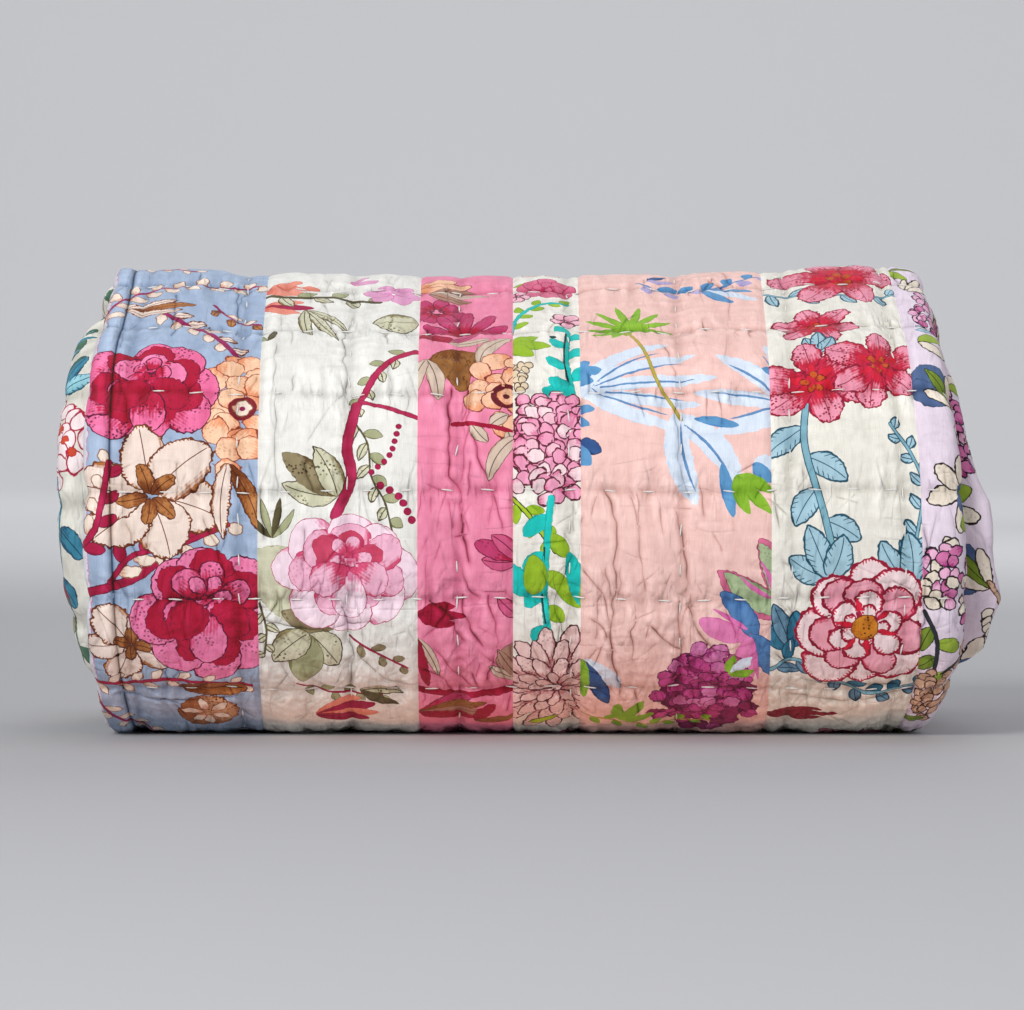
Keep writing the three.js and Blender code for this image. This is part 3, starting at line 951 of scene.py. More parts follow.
# --- The powder-blue strip --------------------------------------------------------------------
# Blue cotton with full pink roses, cream flowers edged in brown and crimson stems. Its outer edge
# is turned in and sewn down as the hem, a hand's thickness from the fold behind it.
petal, round_end = (1.5, 0.5, 0.5), (1, 0.5, 0.4)
blue_inks = {
    "rose": Ink("ec709f", "ba193e", "5c1230", (1.4, 0.52, 0.7), (0.54, 0.14, 1.2), (0, 0.3, 0.9)),
    "pink": Ink("ee7fab", "cf3a66", "5c1230", (1.4, 0.52, 0.7), (0.34, 0.16, 1.2), (0, 0.3, 0.7)),
    "red": Ink("c3173b", "9a0e32", "5c1230", (1, 0.55, 0.3), (0.2, 0.2, 1.6), (0, 0, 0.4)),
    "cream": Ink("eed9cc", "a5602c", "6a331a", (0.8, 0.6, 0.8), (0.12, 0.22, 2), (0.55, 2, 0)),
    "brown": Ink("b0703c", "83461f", "5a2a14", (1, 0.6, 0.5), (0.4, 0.2, 1.2), (0.7, 0.6, 0.6)),
    "ball": Ink("cf9d74", "9a5a30", "5a2a14", (1, 0.5, 0.5), (0.45, 0.4, 2.4), (0, 3.2, 1)),
    "stem": Ink("c4204c", "8e123a", "6b1634", round_end, (0, 0.35, 0.6)),
    "twig": Ink("a81f62", "7d1648", "7d1648", (1, 0.6, 0), (0, 0.2, 0.5)),
    "blossom": Ink("f7c8a4", "ec9a70", "93402a", (1.2, 0.52, 0.5), (0.35, 0.15, 1.2), (0, 0.5, 0.3)),
    "ring": Ink("7a1a24", "7a1a24", "7a1a24", round_end),
    "bud": Ink("efdccb", "d8a58c", "8a5a40", (1, 0.7, 0.5), (0.3, 0.1, 1.2), (0, 0.5, 0)),
    # the pale line along the hem's edge: the paler cloth turned in there, with painted highlight where the
    # edge catches the light
    "edge": Ink("dcd9e2", "d8a8bc", "c888a4", round_end, (0, 0, 1.6), (0, 0.3, 0)),
}
blue_motifs = [
    # the pale hem line, partly turned-in cloth and partly painted highlight
    (stem, "edge", 5.4, (-197.8, 0), (-197.8, 150), (-197.8, 316)),
    (sprig, ("twig", "bud"), 1.4, 12, (-200, 350), (-190, 325), (-175, 312), (-150, 305), (-125, 300)),
    (sprig, ("twig", "bud", "cream"), 3, 12, (-172, 336), (-158, 350), (-144, 362), (-128, 384)),
    (fan, ("cream", "brown"), (-188, 335), (-152, 330), 3, 0.4, 7),
    (sprig, ("twig", "brown", "bud"), 1.4, 9, (-144, 328), (-135, 342), (-122, 346)),
    (mound, ("blossom",), (-142, 384), (-118, 446), 12, 3), (disc, "ring", (-128, 412), 6.5),
    (disc, "bud", (-128, 412), 4.6), (disc, "twig", (-128, 412), 1.4),
    (stem, "stem", 4.5, (-134, 446), (-150, 465), (-172, 490), (-200, 500)),
    (sprig, ("stem", "bud", "stem"), 2.6, 12, (-186, 494), (-176, 482), (-158, 478), (-134, 468)),
    (rose, ("rose", "red", "pink", "rose"), (-170, 404), 34, 0.85, 3),
    (ring, "cream", (-168, 455), 3, 34, 6, 24, 0.2, 0.9, 4),
    (ring, "brown", (-168, 455), 1, 14, 5, 7, 0.5, 1, 5),
    (fan, ("brown", "cream"), (-134, 440), (-126, 482), 2, 0.5, 9),
    (ring, "cream", (-178, 524), 3, 24, 5, 17, 0.4, 0.9, 6),
    (ring, "brown", (-178, 524), 0, 9, 4, 6, 0.1, 1, 7),
    (rose, ("pink", "red", "rose", "pink"), (-143, 510), 35, 1, 8),
    (sprig, ("stem", "stem", "bud"), 3, 11, (-202, 480), (-192, 470), (-186, 440)),
    (sprig, ("stem", "bud"), 2.6, 10, (-202, 545), (-182, 548), (-160, 544), (-125, 550)),
    (disc, "ball", (-145, 570), 14), (ring, "bud", (-145, 570), 2, 12, 6, 5, 0.3, 1, 9),
    ("brown", (-158, 550), (-126, 553), 10),
    (sprig, ("twig", "bud"), 2, 10, (-200, 556), (-190, 575), (-175, 592), (-155, 604)),
]
blue_rose = Cotton("blue rose cotton", "a1b3cd", blue_inks, 316, blue_motifs)
strip_piece(0, "blue_rose_strip", blue_rose, past_left=14)

# --- The white strip --------------------------------------------------------------------------
# Off-white cotton with full pale-pink roses, olive leaves, red stems and strings of berries.
white_inks = {
    "rose": Ink("f7dde8", "e583a6", "b0305c", (1.4, 0.56, 0.35), (0.34, 0.2, 0.9), (0, 0.5, 0)),
    "pink": Ink("f3b6ce", "d64a72", "b0305c", (1.4, 0.56, 0.35), (0.4, 0.24, 1), (0, 0.5, 0.3)),
    "red": Ink("cc4564", "b02c50", "a02a50", (1, 0.65, 0.1), (0.1, 0.2, 1), (0, 0.3, 0)),
    "pale": Ink("d7d6be", "c4c19f", "8d875e", (0.9, 0.6, 0.15), (0.1, 0.3, 1.2), (0, 0, 0)),
    "olive": Ink("d0cdb0", "8a7c54", "463c22", (0.8, 0.85, 0.5), (0.14, 0.3, 0.7), (0.55, 0.1, 0.9)),
    "twig": Ink("6b623e", "3c3420", "3c3420", (1, 0.8, 0), (0, 0.3, 0.3)),
    "stem": Ink("c42f5c", "a01c46", "8a1a3c", round_end, (0, 0.3, 0.5)),
    "berry": Ink("b81f54", "8e123a", "8e123a", round_end, (0.3, 0, 0.3)),
    "coral": Ink("f0a690", "e0705c", "c04a40", (1, 0.6, 0.2), (0.35, 0.1, 0.8)),
    "mauve": Ink("eab4d4", "d883b4", "b02a6a", (1, 0.55, 0.2), (0.25, 0.1, 0.5)),
    "sage": Ink("c3c9a2", "7d7a4a", "4c4226", (1, 0.85, 0.25), (0.2, 0.25, 0.3)),
    "umber": Ink("8f8160", "5f4a2a", "4c3c22", (1, 0.75, 0.1), (0.2, 0.3, 0.7), (0, 0.1, 1)),
}
white_motifs = [
    (fan, ("coral",), (-122, 310), (-96, 303), 3, 0.7, 7),
    (fan, ("coral", "berry"), (-122, 327), (-98, 330), 3, 0.6, 6),
    (sprig, ("twig", "olive", "sage"), 2.6, 13, (-121, 315), (-106, 318), (-90, 316), (-68, 322)),
    (ring, "mauve", (-62, 312), 1, 14, 6, 10, 0.2, 0.85, 3),
    (fan, ("mauve",), (-82, 296), (-68, 288), 2, 0.8, 5),
    (fan, ("olive",), (-102, 332), (-86, 366), 3, 0.6, 6), ("olive", (-50, 343), (-71, 345), 19),
    (fan, ("sage", "twig"), (-118, 368), (-120, 350), 2, 0.6, 3.5),
    (sprig, ("stem", "sage", "olive"), 3.2, 9, (-50, 376), (-62, 384), (-70, 396), (-77, 412)),
    (stem, "stem", 2.4, (-76, 408), (-64, 412), (-50, 417)),
    (sprig, ("twig", "olive", "sage"), 0.9, 10, (-80, 416), (-72, 430), (-70, 446), (-64, 458), (-60, 474)),
    (stem, "stem", 5, (-77, 410), (-81, 432), (-79, 446), (-86, 464)),
    (fan, ("olive", "umber", "olive"), (-85, 455), (-110, 435), 3, 0.9, 12),
    (beads, "berry", 1.4, (-70, 444), (-62, 436), (-58, 422)),
    (beads, "berry", 1.8, (-66, 450), (-58, 455), (-52, 466)),
    (fan, ("twig", "sage"), (-114, 474), (-115, 454), 4, 1.4, 3.5),
    ("pale", (-86, 512), (-126, 482), 32, 0.05),
    (fan, ("umber", "pale"), (-84, 514), (-114, 498), 2, 0.5, 11),
    (rose, ("rose", "pink", "red", "pink"), (-80, 490), 32, 0.85, 4),
    (fan, ("olive", "sage", "olive"), (-98, 518), (-101, 545), 3, 1.5, 16),
    (sprig, ("twig", "olive"), 1, 8, (-120, 504), (-117, 516), (-118, 528)),
    (sprig, ("berry", "umber"), 1.1, 8, (-80, 520), (-68, 528), (-54, 536)),
    (sprig, ("berry", "sage"), 1.1, 8, (-104, 546), (-88, 554), (-66, 556)),
    (fan, ("coral", "berry"), (-96, 572), (-66, 566), 4, 0.8, 8),
    (fan, ("olive", "twig"), (-76, 553), (-52, 560), 2, 0.4, 6),
]
white_rose = Cotton("white rose cotton", "e9e7e0", white_inks, 322, white_motifs)
strip_piece(1, "white_rose_strip", white_rose)

# --- The rose-pink strip ----------------------------------------------------------------------
# Plain rose-pink ground, with its flowers and leaves set far apart.
pink_inks = {
    "bloom": Ink("cc4f88", "b0183c", "6b1634", petal, (0.45, 0.15, 0.8), (0, 0, 0.5)),
    "blossom": Ink("f4bf9c", "e6986f", "7a2a24", (1.2, 0.52, 0.45), (0.35, 0.15, 1), (0, 0.5, 0.3)),
    "ring": Ink("641420", "641420", "641420", round_end),
    "cream": Ink("e6d3c4", "bfa088", "5a4a38", (0.9, 0.7, 0.3), (0.15, 0.25, 0.5), (0.6, 0, 0)),
    "brown": Ink("a8743c", "7a4418", "54300f", (1, 0.6, 0.25), (0.35, 0.3, 1), (0, 0, 0.8)),
    "crimson": Ink("b3123a", "8a0c2c", "8a0c2c", (1, 0.6, 0.15), (0.3, 0.2, 0.8)),
    "taupe": Ink("c39a88", "8c5c48", "5a3428", (1, 0.75, 0.25), (0.2, 0.3, 0.6), (0.6, 0, 0)),
    "outline": Ink("dd6a95", "b8305c", "6b1634", (1, 0.8, 0.4), (0.15, 0.3, 0.4), (0.5, 0, 0)),
}
pink_motifs = [
    (fan, ("blossom",), (-51, 300), (-26, 297), 3, 0.7, 8),
    (fan, ("taupe", "cream"), (-46, 308), (-18, 312), 3, 0.7, 7),
    (ring, "bloom", (-42, 330), 2, 14, 8, 8, 0.2, 1, 4),
    (fan, ("bloom",), (-29, 357), (-28, 330), 5, 2.2, 7),
    (stem, "crimson", 7, (-52, 358), (-44, 360), (-36, 364)),
    (fan, ("outline", "cream"), (-36, 368), (-14, 358), 2, 0.5, 6),
    (fan, ("brown",), (-36, 374), (-29, 402), 3, 0.9, 12),
    (fan, ("cream",), (-46, 382), (-47, 414), 2, 0.5, 8), ("cream", (-8, 364), (-22, 388), 9, 0.15),
    (mound, ("blossom",), (-24, 378), (-2, 424), 11, 5), (disc, "ring", (-10, 405), 7),
    (disc, "blossom", (-10, 405), 5), (disc, "ring", (-10, 405), 1.6),
    (sprig, ("crimson", "cream"), 2.4, 13, (-34, 420), (-20, 421), (-4, 425)),
    ("cream", (-4, 426), (-18, 448), 8, 0.12),
    (fan, ("outline", "bloom"), (-4, 484), (-24, 476), 3, 0.7, 8), ("outline", (-4, 511), (-14, 501), 7),
    (fan, ("crimson",), (-50, 509), (-28, 510), 3, 0.5, 5),
    (fan, ("cream", "crimson"), (-50, 520), (-45, 550), 3, 0.5, 5), (disc, "taupe", (-6, 532), 9),
    (fan, ("cream", "taupe"), (-4, 544), (-14, 526), 3, 1, 6),
    (stem, "crimson", 4, (-50, 552), (-30, 556), (-6, 552)),
    (fan, ("bloom", "brown", "taupe", "crimson"), (-50, 570), (-16, 565), 4, 0.7, 8),
    (fan, ("crimson", "brown"), (-24, 580), (-6, 563), 2, 0.7, 7),
]
rose_pink = Cotton("rose-pink cotton", "eb87a6", pink_inks, 330, pink_motifs)
strip_piece(2, "rose_pink_strip", rose_pink)

# --- The narrow ivory strip -------------------------------------------------------------------
# A narrow strip of ivory cotton with pink and dusty-rose heads of florets on turquoise stems.
narrow_inks = {
    "floret": Ink("f2bccb", "de7fa2", "5e2230", (1.3, 0.6, 0.75), (0.35, 0.15, 1.2), (0, 0.5, 0)),
    "pink": Ink("ee9dbb", "dc6f98", "5e2230", (1.2, 0.6, 0.75), (0.3, 0.15, 1.2), (0, 0.4, 0)),
    "pale": Ink("f4d9dc", "eba9bf", "5e2230", (1.2, 0.6, 0.7), (0.3, 0.15, 1.2), (0, 0.5, 0)),
    "turquoise": Ink("1bd2c5", "12a9a4", "1a5a5c", (1, 0.6, 0.1), (0.1, 0.25, 0.8)),
    "lime": Ink("a9cc2f", "7ba31c", "55701a", (0.9, 0.65, 0.15), (0.1, 0.3, 0.4)),
    "sprig": Ink("b6d02c", "8fae22", "2c3818", (1, 0.7, 0.6), (0.1, 0.3, 0.6)),
    "peony": Ink("e78aa8", "c62c5c", "a01f4c", petal, (0.4, 0.2, 0.8)),
    "dusty": Ink("eecbc6", "c07a7c", "54202a", (1.3, 0.6, 0.75), (0.36, 0.2, 1.2), (0, 0.6, 0.4)),
    "bead": Ink("f0e4ca", "d2b48a", "4a2c1c", (1, 0.5, 0.55), (0.2, 0.2, 0.6)),
    "dark": Ink("1d3a3c", "1d3a3c", "1d3a3c", round_end),
}
narrow_motifs = [
    ("lime", (-7, 298), (4, 296), 3), (rose, ("peony", "peony"), (9, 302), 14, 0.9, 2, 0),
    (ring, "floret", (-5, 312), 0, 7, 5, 6, 0.1, 1, 9),
    (sprig, ("turquoise", "lime"), 2.2, 9, (-8, 354), (-5, 338), (4, 324), (18, 320)),
    (ring, "floret", (17, 341), 0, 8, 5, 7, 0.3, 1, 3), (fan, ("lime",), (-8, 370), (10, 372), 3, 1.4, 9),
    (sprig, ("turquoise", "turquoise"), 2.6, 13, (20, 404), (17, 382), (18, 354)),
    (disc, "dark", (11, 362), 1.6), (stem, "dark", 0.9, (19, 402), (16, 382), (17, 356)),
    (fan, ("turquoise",), (20, 404), (4, 396), 2, 0.5, 8), (mound, ("bead",), (-9, 384), (1, 402), 4.2, 4),
    (disc, "pink", (9, 430), 22), (mound, ("floret", "pink", "pink", "pale"), (-9, 403), (27, 458), 7.6, 5),
    (sprig, ("sprig", "lime"), 2.4, 10, (-8, 455), (0, 464), (12, 480)),
    (sprig, ("turquoise", "turquoise", "lime"), 3.2, 15, (10, 456), (8, 478), (7, 500), (9, 520)),
    (stem, "dark", 0.8, (7, 478), (6, 500), (8, 516)),
    (fan, ("lime", "turquoise"), (24, 506), (18, 480), 3, 0.8, 8),
    (fan, ("turquoise", "lime"), (2, 500), (-6, 478), 2, 0.7, 11), (disc, "dusty", (13, 550), 26),
    (ring, "dusty", (13, 550), 12, 37, 17, 9, 0.2, 1, 4),
    (ring, "dusty", (13, 550), 8, 29, 15, 8, 0.4, 1, 5),
    (ring, "dusty", (13, 551), 4, 21, 12, 7, 0.1, 1, 6), (ring, "dusty", (13, 552), 1, 13, 9, 6, 0.5, 1, 7),
    ("sprig", (0, 582), (14, 574), 5),
]
floret = Cotton("floret cotton", "ece8de", narrow_inks, 308, narrow_motifs)
strip_piece(3, "narrow_ivory_strip", floret)

# --- The peach strip --------------------------------------------------------------------------
# Peach cotton with white fronds veined in blue, lime sprays and blue leaves with pink midribs.
peach_inks = {
    "frond": Ink("f1f2f6", "bcd3ec", "6f93c4", (1, 0.6, 0), (0, 0.12, 1.2)),
    "vein": Ink("6f98c2", "4f80b4", "4f80b4", (1, 0.6, 0), (0, 0, 0.3)),
    "blue": Ink("6ba3cc", "4a86bc", "4a86bc", (1, 0.65, 0), (0.2, 0.3, 0.4)),
    "spray": Ink("9ccb36", "6f9f28", "6f9f28", (0.9, 0.7, 0), (0.2, 0.3, 0.5)),
    "stalk": Ink("b9c44a", "b08a44", "b08a44", round_end, (0, 0.3, 0.3)),
    "sage": Ink("a9bd92", "7f9a6a", "8c3a5c", (0.9, 0.75, 0.3), (0.1, 0.2, 1.4), (0, 0.5, 0.3)),
    "edging": Ink("e27c9c", "c8567e", "a03a64", (0.9, 0.75, 0.3), (0, 0.2, 1.2)),
    "slate": Ink("5f8fc2", "3f6aa4", "35507e", (0.9, 0.62, 0.35), (0.1, 0.25, 0.8)),
    "rib": Ink("ec86c0", "d860a4", "b03a80", (0.8, 0.7, 0.1), (0, 0.2, 0.3)),
    "pink": Ink("ef93c2", "dd6aa8", "c04a8c", (1.3, 0.6, 0.1), (0.15, 0.2, 0.5)),
    "magenta": Ink("bf4288", "8a1e5a", "4c0c30", (1.3, 0.6, 0.5), (0.35, 0.15, 1.6), (0, 0.6, 0.5)),
    "orchid": Ink("d277ae", "b04084", "5c1240", (1.3, 0.6, 0.4), (0.3, 0.15, 1.6), (0, 0.5, 0.3)),
    "wine": Ink("8c205a", "641440", "440a2c", (1.3, 0.6, 0.3), (0.3, 0.15, 1.6), (0, 0.5, 0.4)),
    "navy": Ink("3f6aa8", "1f3462", "141f40", (1, 0.7, 0.3), (0.2, 0.4, 0.8)),
    "lilac": Ink("c4b8dc", "9a8ac0", "7a6aa0", (1, 0.6, 0), (0.1, 0.2, 0.6)),
}
peach_motifs = [
    (sprig, ("vein", "lilac", "blue"), 1, 11, (50, 298), (64, 306), (84, 304), (106, 292)),
    (fan, ("blue", "frond"), (80, 306), (105, 322), 3, 0.7, 6),
    (fan, ("navy", "lilac"), (55, 296), (70, 288), 2, 0.6, 4),
    (fan, ("frond",), (20, 400), (85, 395), 5, 1.05, 7),
    (fan, ("vein",), (28, 400), (75, 396), 5, 1.05, 1.2),
    (fan, ("frond",), (120, 410), (75, 390), 4, 1.6, 9),
    (fan, ("vein",), (115, 408), (83, 394), 4, 1.6, 1.3),
    (fan, ("frond",), (65, 415), (90, 465), 2, 0.5, 12),
    (fan, ("vein",), (68, 420), (86, 458), 2, 0.5, 1.3), (fan, ("spray",), (46, 352), (40, 328), 9, 3.6, 4),
    (fan, ("spray",), (44, 350), (38, 364), 3, 0.9, 5),
    (stem, "stalk", 1.7, (44, 356), (52, 376), (58, 398), (68, 418)),
    (fan, ("blue",), (17, 392), (33, 390), 3, 1, 7), (fan, ("blue",), (18, 414), (32, 418), 2, 0.8, 5),
    ("blue", (74, 418), (94, 422), 5), ("blue", (86, 440), (91, 465), 6),
    (fan, ("blue",), (116, 390), (103, 384), 2, 1, 6),
    (fan, ("navy", "blue"), (20, 430), (33, 440), 2, 0.6, 8),
    (fan, ("frond", "blue"), (100, 440), (114, 446), 2, 0.7, 7),
    (fan, ("spray",), (92, 446), (108, 463), 3, 0.8, 6),
    (fan, ("edging",), (117, 510), (86, 472), 2, 0.6, 15),
    (fan, ("sage",), (116, 508), (88, 475), 2, 0.6, 12),
    (fan, ("rib",), (110, 502), (95, 483), 2, 0.6, 2.4),
    (fan, ("pink", "slate"), (102, 520), (74, 500), 2, 0.6, 10), ("rib", (98, 516), (82, 506), 2.4),
    (fan, ("slate", "pink"), (99, 518), (106, 554), 2, 0.5, 11), ("rib", (100, 520), (103, 544), 2.4),
    (disc, "wine", (79, 557), 22), (mound, ("wine", "magenta"), (58, 532), (100, 588), 8.5, 8),
    (mound, ("orchid", "magenta"), (62, 525), (95, 568), 8, 9),
    (fan, ("spray", "frond"), (90, 540), (100, 530), 3, 1.2, 5),
    (fan, ("frond", "navy", "spray"), (24, 532), (36, 562), 3, 0.7, 9),
    (fan, ("spray",), (42, 578), (52, 560), 3, 1.2, 6),
    (sprig, ("stalk", "spray"), 1.2, 9, (24, 572), (50, 582), (82, 578)),
]
peach_frond = Cotton("peach frond cotton", "f2c7be", peach_inks, 326, peach_motifs)
strip_piece(4, "peach_strip", peach_frond)

# --- The ivory strip --------------------------------------------------------------------------
# Ivory cotton with red lilies on blue-green stems and a large open peony.
ivory_inks = {
    "lily": Ink("ea94aa", "c41f3e", "8e1230", (1.2, 0.58, 0.85), (0.46, 0.22, 2), (0.55, 2.0, 1.4)),
    "red": Ink("d41c38", "b0142e", "8e1230", (1, 0.7, 0.1), (0.2, 0.2, 1.4), (0, 0.3, 0)),
    "heart": Ink("c45420", "a02a1c", "7a1c18", round_end, (0.3, 0.1, 1.4), (0, 0.4, 0.8)),
    "leafy": Ink("b2d0dd", "93bccb", "1f4f63", (0.85, 0.7, 0.85), (0.05, 0.15, 0.8), (1, 0, 0)),
    "stem": Ink("93bfcc", "5f95a8", "1f4f63", (1, 0.5, 0.5), (0, 0.3, 0.2)),
    "teal": Ink("3f8aa6", "1d5a78", "143c52", (0.9, 0.65, 0.6), (0.3, 0.3, 0.5)),
    "dusk": Ink("7fa3b8", "44708c", "1f3f58", (0.9, 0.7, 0.6), (0.2, 0.35, 0.4), (0.6, 0, 0)),
    "petal": Ink("f4dadb", "d0405a", "9c1434", (1.4, 0.6, 1.5), (0.2, 0.14, 1.8), (0, 4, 0)),
    "blush": Ink("eea2b2", "c93050", "8e1230", (1.4, 0.6, 1.4), (0.26, 0.22, 1.8), (0, 3.4, 0)),
    "centre": Ink("cf7f1f", "a8540f", "6a2c0c", round_end, (0.2, 0.2, 1.2), (0, 0.6, 1)),
    "crimson": Ink("9c2036", "6e1226", "6e1226", (1, 0.6, 0.2), (0.3, 0.2, 0.8)),
}
ivory_motifs = [
    (sprig, ("stem", "leafy"), 1.8, 13, (104, 312), (120, 319), (150, 323), (184, 318)),
    (fan, ("leafy",), (146, 298), (146, 270), 6, 2.6, 7),
    (lily, ("lily", "red", "heart"), (144, 301), 33, 0.1, 2),
    (lily, ("lily", "red", "heart"), (131, 356), 21, 0.3, 3),
    (fan, ("leafy",), (131, 381), (131, 363), 3, 0.9, 8),
    (stem, "stem", 3, (131, 377), (130, 390), (128, 404)),
    (sprig, ("stem", "leafy"), 3.4, 24, (124, 410), (123, 432), (130, 458), (138, 490)),
    (lily, ("lily", "red", "heart"), (128, 399), 27, 0.2, 4),
    (lily, ("lily", "red", "heart"), (158, 390), 26, 0.6, 9),
    (sprig, ("stem", "leafy"), 1.8, 10, (168, 494), (173, 470), (176, 450), (170, 434), (162, 422)),
    (fan, ("leafy",), (170, 496), (160, 466), 2, 0.5, 12),
    (fan, ("leafy",), (134, 492), (124, 468), 3, 1.4, 13),
    (fan, ("teal", "dusk"), (118, 526), (109, 504), 3, 0.9, 9),
    (sprig, ("stem", "dusk", "teal"), 2.2, 12, (106, 540), (118, 532), (132, 538), (152, 554), (178, 548)),
    (rose, ("petal", "blush", "petal", "petal"), (150, 515), 34, 0.96, 6, 0),
    (ring, "red", (150, 515), 4, 14, 6, 2.6, 0.3, 1, 8), (disc, "centre", (150, 515), 6.2),
    (fan, ("crimson",), (106, 573), (140, 571), 3, 0.3, 5),
]
ivory_lily = Cotton("ivory lily cotton", "e9e5da", ivory_inks, 320, ivory_motifs)
strip_piece(5, "ivory_lily_strip", ivory_lily)

# --- The lavender strip -----------------------------------------------------------------------
# Pale lavender cotton with clusters outlined in black, slate-blue leaves and lime buds. It goes
# round the fold at the roll's right end and on between the layers.
lavender_inks = {
    "cluster": Ink("d978ac", "b03c80", "2f1c2c", (1.2, 0.6, 0.75), (0.35, 0.15, 1.2), (0, 0.5, 0)),
    "rosy": Ink("eeb4d2", "d678ac", "2f1c2c", (1.2, 0.6, 0.75), (0.3, 0.15, 1.2), (0, 0.4, 0)),
    "cream": Ink("ecdfce", "d3b99a", "2f2620", (1.1, 0.6, 0.85), (0.1, 0.15, 1.2), (0, 0.3, 0.2)),
    "slate": Ink("57709a", "3f5278", "2c3a58", (0.9, 0.55, 0.3), (0.1, 0.2, 1.2)),
    "lime": Ink("a6bf43", "86a02e", "3a4420", (0.9, 0.6, 0.4), (0.1, 0.2, 0.8)),
    "olive": Ink("7f9a2c", "5f7020", "2c3814", (0.9, 0.7, 0.5), (0.1, 0.2, 0.8), (0.55, 0, 0)),
    "dark": Ink("343840", "23262e", "23262e", round_end),
    "tan": Ink("cfa98e", "a2745a", "4a2c1c", (1.2, 0.6, 0.7), (0.3, 0.2, 1.2), (0, 0.5, 0.6)),
    "pale": Ink("a6cbdc", "86b2c8", "1f4f63", (0.85, 0.7, 0.5), (0.1, 0.2, 0.6)),
}
lavender_motifs = [
    (fan, ("olive", "lime"), (172, 286), (194, 296), 2, 0.8, 6),
    (fan, ("cream",), (182, 315), (192, 298), 3, 0.9, 7),
    (mound, ("cluster", "rosy", "cluster"), (183, 318), (202, 360), 6.4, 3),
    (fan, ("pale",), (191, 359), (178, 357), 2, 0.8, 5),
    (fan, ("lime", "cream"), (181, 374), (201, 373), 2, 0.9, 8),
    (fan, ("slate",), (174, 401), (199, 403), 2, 0.8, 13),
    (fan, ("cream", "olive"), (197, 410), (182, 393), 3, 1, 7),
    (stem, "tan", 3, (197, 408), (202, 420), (205, 432)),
    (beads, "cream", 3, (196, 422), (199, 430), (203, 436)),
    (ring, "cream", (197, 452), 1, 19, 7, 9, 0.2, 1, 5),
    (fan, ("slate",), (192, 455), (211, 458), 2, 0.7, 10), ("lime", (208, 466), (192, 468), 10),
    (mound, ("cluster", "rosy", "cream"), (174, 476), (194, 508), 6.6, 6),
    (mound, ("cluster", "rosy", "cluster", "cream"), (195, 476), (214, 526), 6.4, 7),
    (sprig, ("dark", "olive", "lime"), 2, 15, (176, 508), (182, 522), (182, 542)),
    (sprig, ("dark", "tan"), 2.2, 12, (186, 540), (196, 535), (210, 526)),
    (mound, ("tan",), (173, 540), (193, 574), 6.4, 5), ("olive", (172, 578), (185, 574), 6),
    (fan, ("cream", "lime"), (196, 318), (209, 312), 2, 0.8, 7),
    (fan, ("lime", "tan"), (202, 340), (215, 352), 2, 0.7, 7), ("slate", (206, 360), (218, 380), 10),
    (mound, ("cluster", "rosy"), (208, 392), (224, 424), 6.4, 9), ("olive", (208, 430), (220, 446), 7),
    ("tan", (198, 540), (211, 553), 9),
]
lavender = Cotton("lavender cotton", "e6d6e4", lavender_inks, 318, lavender_motifs)
strip_piece(6, "lavender_strip", lavender, past_right=28)

# --- The layers' edges at the roll's ends -----------------------------------------------------
# At the left end each turn shows the outer layer's hem and, standing further out, the fold of the
# other two layers. At the right end it shows the fold of the outer two layers and then the third
# layer's hem. Each is one band of cloth that goes round its edge and winds in to the core.
teal_inks = {
    "hatched": Ink("8fc6d2", "3f93a6", "1c5468", (0.9, 0.6, 0.5), (0.2, 0.25, 1.2), (1, 0.4, 0)),
    "deep": Ink("3f86a0", "1f5470", "163c52", (0.9, 0.6, 0.4), (0.3, 0.3, 1.2), (0.55, 0.6, 0)),
    "blade": Ink("4f94a8", "2b6478", "2b6478", (1, 0.7, 0), (0, 0.2, 0.6)),
    "green": Ink("5f8a6a", "2f5a44", "1f3f34", (0.9, 0.65, 0.3), (0.1, 0.3, 1)),
    "flower": Ink("f6e6e6", "eeb0bf", "a81e3c", (1.3, 0.55, 0.75), (0.2, 0.1, 0.8), (0, 0.6, 0)),
    "heart": Ink("d8602c", "b81c2c", "b3203c", round_end, (0.3, 0.2, 0.6)),
    "crimson": Ink("a8283e", "741828", "741828", (1, 0.6, 0.2), (0.3, 0.2, 1.2)),
    "khaki": Ink("b3a884", "8c8262", "57503a", (1, 0.6, 0.3), (0.2, 0.3, 1.2)),
}
teal_motifs = [
    (sprig, ("blade", "green", "blade"), 1.6, 17, (4, 342), (0, 312), (4, 286), (0, 262)),
    (fan, ("blade", "hatched"), (-12, 306), (16, 298), 4, 1.2, 4),
    (fan, ("hatched", "deep"), (2, 340), (14, 322), 3, 1.4, 8),
    (mound, ("flower",), (-14, 348), (18, 384), 8.4, 6),
    (beads, "heart", 2.1, (-8, 368), (2, 358), (12, 372)),
    (sprig, ("blade", "hatched", "deep"), 1.6, 20, (2, 382), (4, 404), (0, 432)),
    (fan, ("crimson", "deep"), (-4, 428), (0, 444), 2, 0.9, 8),
    (sprig, ("green", "khaki", "green"), 1.4, 18, (4, 434), (6, 462), (0, 496)),
]
teal_sprig = Cotton("ivory cotton with teal leaves", "e2e0d4", teal_inks, 238, teal_motifs,
                    (-2, 2, -1, 1, 3, 4, 5, 6, 0))
lavender_in = Cotton("lavender cotton, inner turns", "e6d6e4", lavender_inks, 318, lavender_motifs,
                     (-1, 1, 2, 3, 0))
blue_in = Cotton("powder-blue cotton, inner turns", "a1b3cd", blue_inks, 316, blue_motifs, (-1, 1, 2, 3, 0))

# How far each turn has slid along the roll at each end, in mm.
slides = [
    # turn, left, right
    (0, 0, 0), (1, 0, 0), (2, 3, 5), (3, 1, 4), (4, -5, -2), (5, -9, -8),
]

